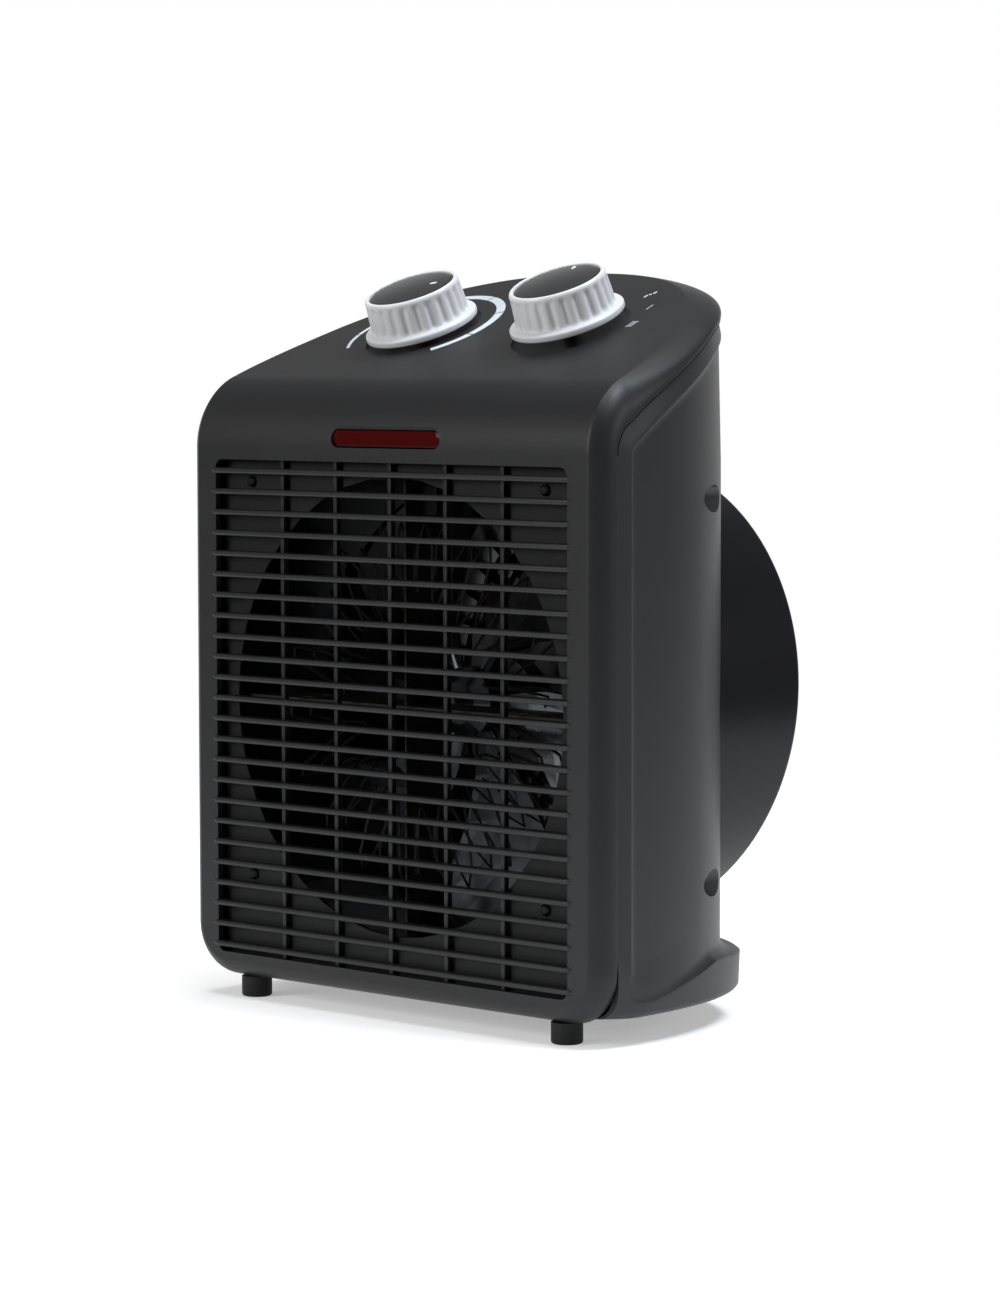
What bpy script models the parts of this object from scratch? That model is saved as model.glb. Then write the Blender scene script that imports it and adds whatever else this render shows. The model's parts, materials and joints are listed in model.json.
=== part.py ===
"""Fan heater: two moulded covers round a duct with an element, a fan and its motor, and two knobs on top.

Frame: X to the right seen from the front, Y to the back, Z up, metres.
The origin is on the floor, under the middle of the overall width and depth.
"""
import math

import bmesh
import bpy
from mathutils import Matrix, Vector

MM = 0.001

# Overall body
WIDTH = 192 * MM
DEPTH = 125 * MM
BODY_DEPTH = 110 * MM
PLAN_START = 20 * MM
PLAN_EXPONENT = 2.25
WALL = 2.2 * MM
FOOT_HEIGHT = 7.3 * MM
CLEARANCE = 0.3 * MM

# Front face and sloping control panel
FACE_TO_PANEL_HEIGHT = 205.6 * MM
PANEL_SLOPE = math.radians(23)
BEND_RADIUS = 26 * MM
CORNER_RADIUS = 17.5 * MM
SHOULDER = 5.5 * MM
BACK_SHOULDER = 3 * MM
SEAM_DEPTH = 8.4 * MM
SEAM_DROP_FRONT = 13 * MM
SEAM_DROP_BACK = 4 * MM
SEAM_RUN = 48 * MM

# Grille
OPENING_WIDTH = 164 * MM
OPENING_BOTTOM = 15.7 * MM
OPENING_TOP = 184.5 * MM
OPENING_CORNER = 3 * MM
SLAT_COUNT = 24
SLAT_PITCH = 7.056 * MM
SLAT_HEIGHT = 1.9 * MM
SLAT_DEPTH = 4 * MM
SLAT_PROUD = 1 * MM
SLAT_RUN_ON = 2.5 * MM
RIB_COUNT = 5
RIB_PITCH = 25.7 * MM
RIB_WIDTH = 1.8 * MM
RIB_DEPTH = 1.4 * MM
RIB_ROOT = 1.3 * MM
RIB_RUN_ON = 1.5 * MM

# Indicator
LENS_WIDTH = 50 * MM
LENS_HEIGHT = 5.6 * MM
LENS_Z = 192.3 * MM
LENS_DEPTH = 3.5 * MM

# Knobs
KNOB_X = 34.3 * MM
KNOB_Y = 52.8 * MM
KNOB_FLANGE_RADIUS = 19.6 * MM
KNOB_FLANGE = 2.2 * MM
KNOB_RADIUS = 17.2 * MM
KNOB_TOP_RADIUS = 16.6 * MM
KNOB_HEIGHT = 14.3 * MM
KNOB_LIFT = 1.5 * MM
SELECTOR_LIFT = 3.2 * MM
FLUTES = 24
FLUTE_DEPTH = 0.7 * MM
CAP_RADIUS = 14.6 * MM
CAP_DEPTH = 1.2 * MM
CAP_CROWN = 0.5 * MM
KNOB_RECESS = 1 * MM
SHAFT_RADIUS = 3 * MM
CONTROL_BODY = (30 * MM, 26 * MM, 16 * MM)

# Rear cover base
REAR_BOTTOM = 9.3 * MM
REAR_CORNER = 15.5 * MM
BASE_ROUND = 3.5 * MM
FLANGE_REACH = 7 * MM
FLANGE_HEIGHT = 13.7 * MM
FLANGE_FILLET = 4 * MM

# Intake drum
AXIS_Z = 103.6 * MM
DRUM_RADIUS = 79.5 * MM
DRUM_WALL = 2 * MM
DRUM_FRONT = 52 * MM
DRUM_RAKE = math.radians(5)
GRILLE_RINGS = 6
GRILLE_SPOKES = 8
GRILLE_BAR = 2 * MM
GRILLE_THICK = 2.4 * MM
GRILLE_HUB = 17 * MM

# Feet
FOOT_RADIUS = 5.2 * MM
FRONT_FOOT_X = 73 * MM
FRONT_FOOT_Y = 9.5 * MM
REAR_FOOT_X = 36 * MM
REAR_FOOT_Y = 92 * MM

# Case screws
SCREW_X = WIDTH / 2 - 10 * MM
SCREW_ZS = (173.1 * MM, 47.7 * MM)
WELL_RADIUS = 4.5 * MM
WELL_WALL = 1.4 * MM
WELL_FLOOR_Y = 24 * MM
WELL_END = BODY_DEPTH - 30 * MM
BOSS_RADIUS = 3.1 * MM
SCREW_HEAD_RADIUS = 3.3 * MM
SCREW_SHANK_RADIUS = 1.5 * MM
SCREW_HOLE_RADIUS = SCREW_SHANK_RADIUS + CLEARANCE
SCREW_LENGTH = 16 * MM

# Heater plate and duct
PLATE_THICK = 1.2 * MM
PLATE_HOLE_RADIUS = 76.1 * MM
PLATE_MARGIN = 0.6 * MM
PLATE_SCREWS = ((68.5, 177), (68.5, 43))
SHIELD_RADIUS = 76.8 * MM
SHIELD_WALL = 0.9 * MM
SHIELD_LENGTH = 40 * MM

# Heating element
CARD_THICK = 0.8 * MM
CARD_DEPTH = 18 * MM
WIRE_RADIUS = 0.6 * MM
WIRE_RING_RADIUS = 47 * MM
WIRE_SWING = 15 * MM
WIRE_WAVES = 18
WIRE_LOW = 4.5 * MM
WIRE_HIGH = 13.5 * MM

# Fan and motor
FAN_RADIUS = 71 * MM
FAN_HUB_RADIUS = 12 * MM
FAN_BLADES = 6
FAN_Y = 41 * MM
FAN_DEPTH = 13 * MM
BLADE_THICK = 1 * MM
MOTOR_SIZE = 44 * MM
MOTOR_STACK = 20 * MM
MOTOR_GAP = 9 * MM
MOTOR_CAN_RADIUS = 14 * MM
MOTOR_CAN = 7 * MM
FAN_SHAFT_RADIUS = 2.5 * MM
COIL_WIDTH = 24 * MM
COIL_HEIGHT = 14 * MM
COIL_OVERHANG = 4 * MM
BRACKET_THICK = 1.6 * MM
BRACKET_ARM = 9 * MM
BRACKET_MARGIN = 6 * MM
TAB_THICK = 1.4 * MM
TAB_LENGTH = 9 * MM
MOTOR_SCREW_OUT = 2 * MM
MOTOR_SCREW_GRIP = 2 * MM
MOTOR_SCREW_HEAD = 2 * MM

# Cord inlet
INLET_TURN = math.radians(229.4)
INLET_REACH = DRUM_RADIUS + 9.5 * MM
INLET_X = INLET_REACH * math.cos(INLET_TURN)
INLET_Z = AXIS_Z + INLET_REACH * math.sin(INLET_TURN)
INLET_RADIUS = 5.5 * MM
INLET_BORE = 3.4 * MM
INLET_LENGTH = 14 * MM

# Derived places
HALF = WIDTH / 2
FACE_Y = -DEPTH / 2 + SLAT_PROUD
PLATE_Y = FACE_Y + SLAT_DEPTH - SLAT_PROUD + RIB_DEPTH
BACK_REACH = BODY_DEPTH - PLAN_START


def panel_z(y):
    """Height of the flat control panel at depth y from the face."""
    return FACE_TO_PANEL_HEIGHT + y * math.tan(PANEL_SLOPE)


def material(name, rgb, roughness, metallic=0.0):
    mat = bpy.data.materials.new(name)
    mat.use_nodes = True
    shader = mat.node_tree.nodes["Principled BSDF"]
    shader.inputs["Base Color"].default_value = (*rgb, 1)
    shader.inputs["Roughness"].default_value = roughness
    shader.inputs["Metallic"].default_value = metallic
    mat.diffuse_color = (*rgb, 1)
    return mat


def from_bmesh(name, bm, mat=None, smooth=35):
    mesh = bpy.data.meshes.new(name)
    bmesh.ops.recalc_face_normals(bm, faces=bm.faces)
    bm.to_mesh(mesh)
    bm.free()
    mesh.shade_smooth()
    mesh.set_sharp_from_angle(angle=math.radians(smooth))
    obj = bpy.data.objects.new(name, mesh)
    bpy.context.scene.collection.objects.link(obj)
    if mat:
        mesh.materials.append(mat)
    return obj


def cutter(obj):
    obj.hide_render = True
    obj.display_type = "WIRE"
    return obj


def boolean(obj, other, operation="DIFFERENCE"):
    mod = obj.modifiers.new(f"{operation.lower()} {other.name}", "BOOLEAN")
    mod.operation = operation
    mod.solver = "EXACT"
    mod.object = cutter(other)
    return mod


def prism(name, outline, low, high, plane="XZ", mat=None, smooth=35):
    """Closed outline of (a, b) points, extruded along the axis that the plane leaves out."""
    order = {"XZ": (0, 2, 1), "XY": (0, 1, 2), "YZ": (1, 2, 0)}[plane]
    bm = bmesh.new()
    rings = []
    for depth in (low, high):
        ring = []
        for a, b in outline:
            point = [0.0, 0.0, 0.0]
            point[order[0]], point[order[1]], point[order[2]] = a, b, depth
            ring.append(bm.verts.new(point))
        rings.append(ring)
    bm.faces.new(rings[0])
    bm.faces.new(rings[1])
    for i in range(len(outline)):
        j = (i + 1) % len(outline)
        bm.faces.new((rings[0][i], rings[0][j], rings[1][j], rings[1][i]))
    return from_bmesh(name, bm, mat, smooth)


def rounded_rectangle(half_a, half_b, radius, centre_b=0.0, steps=4):
    """Outline of a rectangle with round corners, as (a, b) points."""
    points = []
    for sign_a, sign_b, start in ((1, 1, 0), (-1, 1, 90), (-1, -1, 180), (1, -1, 270)):
        for k in range(steps + 1):
            turn = math.radians(start + 90 * k / steps)
            a = sign_a * (half_a - radius) + radius * math.cos(turn)
            b = centre_b + sign_b * (half_b - radius) + radius * math.sin(turn)
            points.append((a, b))
    return points


def lathe(name, profile, segments, mat=None, ripple=None, smooth=35):
    """Closed profile of (radius, height) points turned about the local Z axis.

    ripple(radius, height, angle) may return another radius, for flutes.
    A profile that starts and ends on the axis gives a solid piece, and one that doesn't gives a ring.
    """
    bm = bmesh.new()
    columns = []
    on_axis = {}
    for s in range(segments):
        angle = 2 * math.pi * s / segments
        column = []
        for k, (radius, height) in enumerate(profile):
            if radius == 0:
                if k not in on_axis:
                    on_axis[k] = bm.verts.new((0, 0, height))
                column.append(on_axis[k])
                continue
            r = ripple(radius, height, angle) if ripple else radius
            column.append(bm.verts.new((r * math.cos(angle), r * math.sin(angle), height)))
        columns.append(column)
    count = len(profile)
    closed = profile[0][0] > 0
    for s in range(segments):
        a, b = columns[s], columns[(s + 1) % segments]
        for k in range(count if closed else count - 1):
            corners = []
            for vert in (a[k], b[k], b[(k + 1) % count], a[(k + 1) % count]):
                if vert not in corners:
                    corners.append(vert)
            bm.faces.new(corners)
    return from_bmesh(name, bm, mat, smooth)


def cylinder(name, radius, low, high, segments=32, mat=None):
    return lathe(name, [(0, low), (radius, low), (radius, high), (0, high)], segments, mat)


def along_y(obj, x, z, y=0.0):
    """Turn a piece made about local Z so that its axis runs to the back."""
    obj.rotation_euler = (-math.pi / 2, 0, 0)
    obj.location = (x, y, z)
    return obj


def place(obj, location, rotation=(0, 0, 0), parent=None):
    obj.location = location
    obj.rotation_euler = rotation
    if parent:
        obj.parent = parent
    return obj


def plan_point(turn, offset=0.0):
    """Point of the round back, in plan, at a quarter-turn angle, moved out along its normal."""
    power = 2 / PLAN_EXPONENT
    cos_t, sin_t = math.cos(turn), math.sin(turn)
    x = HALF * max(cos_t, 0.0) ** power
    y = PLAN_START + BACK_REACH * max(sin_t, 0.0) ** power
    nx = max(cos_t, 0.0) ** (2 - power) / HALF
    ny = max(sin_t, 0.0) ** (2 - power) / BACK_REACH
    size = math.hypot(nx, ny)
    return x + offset * nx / size, y + offset * ny / size


def rim_stations(corner=True, back_steps=12, bend_steps=5, corner_steps=4):
    """Right half of the front cover's rim, from the bottom edge to the back, or only from the side up.

    Each station is (crease point, outward direction, wall direction, shoulder depth, seam depth),
    all with y from the face.
    """
    stations = []
    inner = CORNER_RADIUS - SHOULDER
    for k in range(corner_steps + 1 if corner else 0):
        turn = math.radians(90 * k / corner_steps)
        out = Vector((math.sin(turn), 0, -math.cos(turn)))
        centre = Vector((HALF - CORNER_RADIUS, 0, FOOT_HEIGHT + CORNER_RADIUS))
        stations.append((centre + inner * out, out, Vector((0, 1, 0)), SHOULDER, SEAM_DEPTH))
    bend_turn = math.pi / 2 - PANEL_SLOPE
    bend_start = FACE_TO_PANEL_HEIGHT - BEND_RADIUS * math.tan(bend_turn / 2)
    side = Vector((1, 0, 0))
    seam_drop = SEAM_DROP_FRONT
    for k in range(bend_steps + 1):
        turn = bend_turn * k / bend_steps
        y = BEND_RADIUS * (1 - math.cos(turn))
        z = bend_start + BEND_RADIUS * math.sin(turn)
        lean = turn * (math.pi / 2) / bend_turn
        wall = Vector((0, math.cos(lean), -math.sin(lean)))
        depth = SEAM_DEPTH + (seam_drop - SEAM_DEPTH) * (turn / bend_turn) ** 2
        stations.append((Vector((HALF - SHOULDER, y, z)), side, wall, SHOULDER, depth))
    bend_end = stations[-1][0].y
    down = Vector((0, 0, -1))
    for k in range(back_steps + 1):
        turn = math.pi / 2 * k / back_steps
        x, y = plan_point(turn)
        inner_x, inner_y = plan_point(turn, -SHOULDER)
        if inner_y <= bend_end + 1 * MM:
            continue
        share = min(1.0, (y - bend_end) / SEAM_RUN)
        drop = SEAM_DROP_FRONT + (SEAM_DROP_BACK - SEAM_DROP_FRONT) * share ** 0.75
        depth = min(SHOULDER, SHOULDER + (BACK_SHOULDER - SHOULDER) * share)
        out = Vector((x - inner_x, y - inner_y, 0)).normalized()
        crease = Vector((inner_x, inner_y, panel_z(inner_y)))
        stations.append((crease, out, down, depth, drop))
    return stations


def shoulder_row(station, rows=3):
    """Points from the crease over the rounded shoulder to the seam."""
    crease, out, wall, depth, seam = station
    points = []
    for k in range(rows + 1):
        turn = math.pi / 2 * k / rows
        points.append(crease + SHOULDER * math.sin(turn) * out + depth * (1 - math.cos(turn)) * wall)
    points.append(crease + SHOULDER * out + seam * wall)
    return points


def mirrored(point):
    return Vector((-point.x, point.y, point.z))


def sheet(name, rows, mat, thickness, closed_first=True):
    """Open sheet from rows of right-hand points, mirrored to the left and bridged between the first columns.

    Each row holds the points of one station, the first nearest the middle of the cap.
    """
    bm = bmesh.new()
    right = [[bm.verts.new(p + Vector((0, FACE_Y, 0))) for p in row] for row in rows]
    left = [[bm.verts.new(mirrored(p) + Vector((0, FACE_Y, 0))) for p in row] for row in rows]
    for i in range(len(rows) - 1):
        bm.faces.new((left[i][0], right[i][0], right[i + 1][0], left[i + 1][0]))
        for k in range(len(rows[0]) - 1):
            bm.faces.new((right[i][k], right[i][k + 1], right[i + 1][k + 1], right[i + 1][k]))
            bm.faces.new((left[i][k], left[i + 1][k], left[i + 1][k + 1], left[i][k + 1]))
    if closed_first:
        for k in range(len(rows[0]) - 1):
            bm.faces.new((right[0][k], left[0][k], left[0][k + 1], right[0][k + 1]))
    bmesh.ops.remove_doubles(bm, verts=bm.verts, dist=0.01 * MM)
    obj = from_bmesh(name, bm, mat)
    shell = obj.modifiers.new("wall", "SOLIDIFY")
    shell.thickness = thickness
    shell.offset = -1
    shell.use_even_offset = True
    shell.use_quality_normals = True
    return obj


def make_front_cover(mat):
    """Lid of the case: face, bend and control panel in one, with the grille moulded in."""
    cover = sheet("front_cover", [shoulder_row(s) for s in rim_stations()], mat, WALL)
    middle = (OPENING_TOP + OPENING_BOTTOM) / 2
    opening = rounded_rectangle(OPENING_WIDTH / 2, (OPENING_TOP - OPENING_BOTTOM) / 2, OPENING_CORNER, middle)
    boolean(cover, prism("cut_opening", opening, FACE_Y - 5 * MM, FACE_Y + 5 * MM))
    slot = rounded_rectangle(LENS_WIDTH / 2 + CLEARANCE, LENS_HEIGHT / 2 + CLEARANCE,
                             LENS_HEIGHT / 2, LENS_Z)
    boolean(cover, prism("cut_lens", slot, FACE_Y - 5 * MM, FACE_Y + 6 * MM))
    boolean(cover, make_lattice(), "UNION")
    for side in (-1, 1):
        dish, hole = KNOB_FLANGE_RADIUS + 1 * MM, SHAFT_RADIUS + 2 * CLEARANCE
        recess = lathe(f"cut_knob_{side}", [
            (0, KNOB_RECESS), (dish, KNOB_RECESS), (dish, -KNOB_RECESS),
            (hole, -KNOB_RECESS), (hole, -3 * WALL), (0, -3 * WALL),
        ], 32)
        place(recess, *knob_place(side))
        boolean(cover, recess)
        for n, z in enumerate(SCREW_ZS):
            boss = cylinder(f"boss_{side}_{n}", BOSS_RADIUS, WALL / 2, WELL_FLOOR_Y - CLEARANCE, 16)
            boolean(cover, along_y(boss, side * SCREW_X, z, FACE_Y), "UNION")
            bore = cylinder(f"boss_hole_{side}_{n}", SCREW_HOLE_RADIUS, 9 * MM, WELL_FLOOR_Y + 9 * MM, 12)
            boolean(cover, along_y(bore, side * SCREW_X, z, FACE_Y))
    return cover


def make_lattice():
    """Rounded slats and the upright ribs behind them, as one closed net.

    Each slat runs a little way onto the frame, where its nose fades into the face.
    """
    bm = bmesh.new()
    half = SLAT_HEIGHT / 2
    back = SLAT_DEPTH - SLAT_PROUD
    shoulder = -0.2 * SLAT_PROUD
    root = OPENING_WIDTH / 2 - 0.5 * MM
    tip = OPENING_WIDTH / 2 + SLAT_RUN_ON
    top = OPENING_TOP - SLAT_PITCH / 2 - 0.3 * MM
    middles = [(n - (RIB_COUNT - 1) / 2) * RIB_PITCH for n in range(RIB_COUNT)]
    ribs = [middle + side * RIB_WIDTH / 2 for middle in middles for side in (-1, 1)]

    def vert(x, y, z):
        return bm.verts.new((x, FACE_Y + y, z))

    columns = [[vert(x, back - RIB_ROOT, OPENING_TOP + RIB_RUN_ON)] for x in ribs]
    for n in range(SLAT_COUNT):
        z = top - n * SLAT_PITCH
        rings = []
        for x in (-tip, -root, root, tip):
            sink = 1.5 * SLAT_PROUD if abs(x) == tip else 0.0
            bend, nose = shoulder + sink, sink - SLAT_PROUD
            section = [(back, half), (bend, half), (nose, 0), (bend, -half), (back, -half)]
            rings.append([vert(x, y, z + rise) for y, rise in section])
        for a, b in ((rings[0], rings[1]), (rings[2], rings[3])):
            for k in range(5):
                bm.faces.new((a[k], a[(k + 1) % 5], b[(k + 1) % 5], b[k]))
        left, right = rings[1], rings[2]
        upper = [left[0]] + [vert(x, back, z + half) for x in ribs] + [right[0]]
        lower = [left[4]] + [vert(x, back, z - half) for x in ribs] + [right[4]]
        for k in (1, 2):
            bm.faces.new((left[k], left[k + 1], right[k + 1], right[k]))
        bm.faces.new([left[1], right[1]] + upper[::-1])
        bm.faces.new([right[3], left[3]] + lower)
        for k in range(0, len(upper), 2):
            bm.faces.new((upper[k], upper[k + 1], lower[k + 1], lower[k]))
        bm.faces.new(rings[0])
        bm.faces.new(rings[3])
        for k, column in enumerate(columns):
            column += [upper[k + 1], lower[k + 1]]
    for k in range(0, len(ribs), 2):
        ends = []
        for column, x in zip(columns[k:k + 2], ribs[k:k + 2]):
            column.append(vert(x, back - RIB_ROOT, OPENING_BOTTOM - RIB_RUN_ON))
            rear = [vert(x, back + RIB_DEPTH, OPENING_BOTTOM - RIB_RUN_ON),
                    vert(x, back + RIB_DEPTH, OPENING_TOP + RIB_RUN_ON)]
            bm.faces.new(column + rear)
            ends.append(rear)
        one, two = columns[k], columns[k + 1]
        for m in range(0, len(one), 2):
            bm.faces.new((one[m], one[m + 1], two[m + 1], two[m]))
        bm.faces.new((ends[0][0], ends[0][1], ends[1][1], ends[1][0]))
        bm.faces.new((one[0], two[0], ends[1][1], ends[0][1]))
        bm.faces.new((one[-1], two[-1], ends[1][0], ends[0][0]))
    return from_bmesh("lattice", bm)


def knob_place(side):
    """Where a control's axis crosses the panel, and the panel's tilt."""
    return (side * KNOB_X, FACE_Y + KNOB_Y, panel_z(KNOB_Y)), (PANEL_SLOPE, 0, 0)


def base_flare(y):
    """How far the foot of the rear cover reaches out, and how high it stands, at depth y."""
    reach = FLANGE_REACH * min(1.0, max(0.0, (y - PLAN_START) / (65 * MM))) ** 2.2
    height = 2.5 * MM + (FLANGE_HEIGHT - 2.5 * MM) * min(1.0, max(0.0, (y - SEAM_DEPTH) / (52 * MM))) ** 1.3
    return reach, height


def make_rear_cover(mat):
    """Round-backed shell with a flared foot, open at the front and under the control panel."""
    rows = []
    for crease, out, wall, _, seam in rim_stations(corner=False):
        edge = crease + SHOULDER * out + (seam + CLEARANCE) * wall
        rows.append(rear_column(edge, out))
    cover = sheet("rear_cover", rows, mat, WALL, closed_first=False)
    bore = cylinder("cut_drum", DRUM_RADIUS + CLEARANCE, DRUM_FRONT - 20 * MM, BODY_DEPTH + 30 * MM, 48)
    boolean(cover, along_y(bore, 0, AXIS_Z, FACE_Y))
    for side in (-1, 1):
        for n, z in enumerate(SCREW_ZS):
            add_screw_well(cover, side, n, z)
    inlet = cylinder("cut_inlet", INLET_RADIUS, BODY_DEPTH - 60 * MM, BODY_DEPTH + 20 * MM, 24)
    boolean(cover, along_y(inlet, INLET_X, INLET_Z, FACE_Y))
    return cover


def rear_column(edge, out):
    """Points down the rear cover's wall from its upper edge, over the flared foot, to the floor plate."""
    y = edge.y
    reach, height = base_flare(y)
    fade = max(0.0, 1 - (y - SEAM_DEPTH) / (26 * MM))
    corner = BASE_ROUND + (REAR_CORNER - BASE_ROUND) * fade
    shelf = REAR_BOTTOM + max(height, corner + 2.5 * MM)
    fillet = min(FLANGE_FILLET, reach)
    flat = Vector((out.x, out.y, 0)).normalized()
    ground = Vector((edge.x, edge.y, 0))
    up = Vector((0, 0, 1))
    points = [ground + up * (shelf + FLANGE_FILLET + 0.5 * MM), edge]
    steps = 3
    for k in range(1, steps + 1):
        turn = math.pi / 2 * k / steps
        drop = FLANGE_FILLET * math.sin(turn)
        points.insert(0, ground + flat * fillet * (1 - math.cos(turn)) + up * (shelf + FLANGE_FILLET - drop))
    points.insert(0, ground + flat * reach + up * (shelf - 1.5 * MM))
    for k in range(4):
        turn = math.pi / 2 * k / 3
        inward = corner * (1 - math.cos(turn))
        height = REAR_BOTTOM + corner * (1 - math.sin(turn))
        points.insert(0, ground + flat * (reach - inward) + up * height)
    return points


def add_screw_well(cover, side, n, z):
    """Tube from the rear for a case screw, closed at its front end but for the screw's hole."""
    x = side * SCREW_X
    tube = cylinder(f"well_{side}_{n}", WELL_RADIUS + WELL_WALL, WELL_FLOOR_Y, WELL_END, 16)
    keep = prism(f"well_keep_{side}_{n}", body_plan(), z - 12 * MM, z + 12 * MM, "XY")
    boolean(tube, keep, "INTERSECT")
    boolean(cover, along_y(tube, x, z, FACE_Y), "UNION")
    bore = cylinder(f"well_bore_{side}_{n}", WELL_RADIUS, WELL_FLOOR_Y + 2 * MM, WELL_END + 10 * MM, 16)
    boolean(cover, along_y(bore, x, z, FACE_Y))
    start, end = WELL_FLOOR_Y - 9 * MM, WELL_FLOOR_Y + 9 * MM
    hole = cylinder(f"well_hole_{side}_{n}", SCREW_HOLE_RADIUS, start, end, 12)
    boolean(cover, along_y(hole, x, z, FACE_Y))


def body_plan(inset=1.1 * MM, steps=24):
    """Closed outline of the case in plan, a little inside its outer wall."""
    right = [(HALF - inset, FACE_Y + SEAM_DEPTH)]
    for k in range(steps + 1):
        x, y = plan_point(math.pi / 2 * k / steps, -inset)
        right.append((x, FACE_Y + y))
    right[-1] = (0.0, right[-1][1])
    return right + [(-x, y) for x, y in right[-2::-1]]


def make_lens(mat):
    """Red window of the indicator, with a lip behind the face."""
    outline = rounded_rectangle(LENS_WIDTH / 2, LENS_HEIGHT / 2, LENS_HEIGHT / 2 - 0.1 * MM, LENS_Z, 6)
    return prism("indicator_lens", outline, FACE_Y + 1 * MM, FACE_Y + 1 * MM + LENS_DEPTH, "XZ", mat)


def make_lamp(glass, holder_mat):
    """Neon lamp in a holder behind the lens."""
    front = FACE_Y + 1 * MM + LENS_DEPTH + CLEARANCE
    bulb = [(0, 0), (2 * MM, 0), (2.4 * MM, 1 * MM), (2.4 * MM, 6 * MM), (0, 6 * MM)]
    lamp = lathe("indicator_lamp", bulb, 16, glass)
    along_y(lamp, 0, LENS_Z, front)
    outline = rounded_rectangle(9 * MM, 2.6 * MM, 1 * MM, LENS_Z)
    plate = prism("lamp_holder", outline, front + 6 * MM + CLEARANCE, front + 9 * MM, "XZ", holder_mat)
    return lamp, plate


def flute(radius, height, angle):
    """Finger grooves round the knob's grip, none on its flange or in its bore."""
    on_grip = KNOB_TOP_RADIUS - 0.1 * MM <= radius <= KNOB_RADIUS + 0.1 * MM
    if not on_grip or height > KNOB_HEIGHT - 1.2 * MM:
        return radius
    return radius - FLUTE_DEPTH * (0.5 + 0.5 * math.cos(FLUTES * angle))


def make_control(prefix, side, lift, mats):
    """Knob with its cap, the shaft it turns, and the switch or thermostat that the shaft works."""
    location, rotation = knob_place(side)
    empty = bpy.data.objects.new(f"{prefix}_axis", None)
    bpy.context.scene.collection.objects.link(empty)
    place(empty, location, rotation)
    base, top = lift, lift + KNOB_HEIGHT
    bore = SHAFT_RADIUS + CLEARANCE
    inner = KNOB_RADIUS - 3 * MM
    web = base + KNOB_HEIGHT - 5 * MM
    seat = CAP_RADIUS + CLEARANCE
    seat_floor = top - CAP_DEPTH - CLEARANCE
    profile = [
        (bore, web - 5 * MM), (bore + 2 * MM, web - 5 * MM), (bore + 2 * MM, web),
        (inner, web), (inner, base),
        (KNOB_FLANGE_RADIUS, base), (KNOB_FLANGE_RADIUS, base + KNOB_FLANGE),
        (KNOB_RADIUS, base + KNOB_FLANGE + 0.4 * MM), (KNOB_TOP_RADIUS, top - 1.5 * MM),
        (KNOB_TOP_RADIUS, top - 1.1 * MM), (KNOB_TOP_RADIUS - 0.9 * MM, top), (seat, top),
        (seat, seat_floor), (bore, seat_floor),
    ]

    def ripple(radius, height, angle):
        return flute(radius, height - base, angle)

    knob = lathe(f"{prefix}_knob", profile, FLUTES * 2, mats["knob"], ripple, 50)
    cap = lathe(f"{prefix}_knob_cap", [
        (0, top - CAP_DEPTH), (CAP_RADIUS, top - CAP_DEPTH), (CAP_RADIUS, top - 0.3 * MM),
        (CAP_RADIUS * 0.6, top - 0.3 * MM + CAP_CROWN * 0.64), (0, top - 0.3 * MM + CAP_CROWN),
    ], 32, mats["cap"])
    shaft_top = top - CAP_DEPTH - 2 * CLEARANCE
    shaft = cylinder(f"{prefix}_shaft", SHAFT_RADIUS, -8 * MM, shaft_top, 24, mats["steel"])
    wide, tall, deep = CONTROL_BODY
    ceiling = -WALL / math.cos(PANEL_SLOPE) - CLEARANCE
    block = rounded_rectangle(wide / 2, tall / 2, 2 * MM)
    body = prism(f"{prefix}_body", block, ceiling - deep, ceiling, "XY", mats["bakelite"])
    well = cylinder(f"cut_{prefix}_bore", SHAFT_RADIUS + CLEARANCE, -8 * MM - CLEARANCE, 5 * MM, 24)
    boolean(body, well)
    for piece in (knob, cap, shaft, body, well):
        piece.parent = empty
    return empty


def make_drum(mat):
    """Round air housing that stands out of the back: a tube with a raked end and a finger guard."""
    rear = DEPTH / 2 - DRUM_RADIUS * math.sin(DRUM_RAKE)
    length = rear - (FACE_Y + DRUM_FRONT)
    segments = 48
    bm = bmesh.new()
    rings = []
    rake = math.tan(DRUM_RAKE)
    inner = DRUM_RADIUS - DRUM_WALL
    edge = 1.5 * MM
    profile = [
        (DRUM_RADIUS, 0, 0), (DRUM_RADIUS, 1, edge), (DRUM_RADIUS - edge, 1, 0), (inner, 1, 0), (inner, 0, 0),
    ]
    for radius, share, back in profile:
        ring = []
        for s in range(segments):
            angle = 2 * math.pi * s / segments
            x, z = radius * math.cos(angle), radius * math.sin(angle)
            y = FACE_Y + DRUM_FRONT + share * (length + z * rake) - back
            ring.append(bm.verts.new((x, y, AXIS_Z + z)))
        rings.append(ring)
    for a, b in zip(rings, rings[1:] + rings[:1]):
        for s in range(segments):
            j = (s + 1) % segments
            bm.faces.new((a[s], a[j], b[j], b[s]))
    drum = from_bmesh("intake_drum", bm, mat)
    guard = make_guard(rear)
    boolean(drum, guard, "UNION")
    return drum


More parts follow.
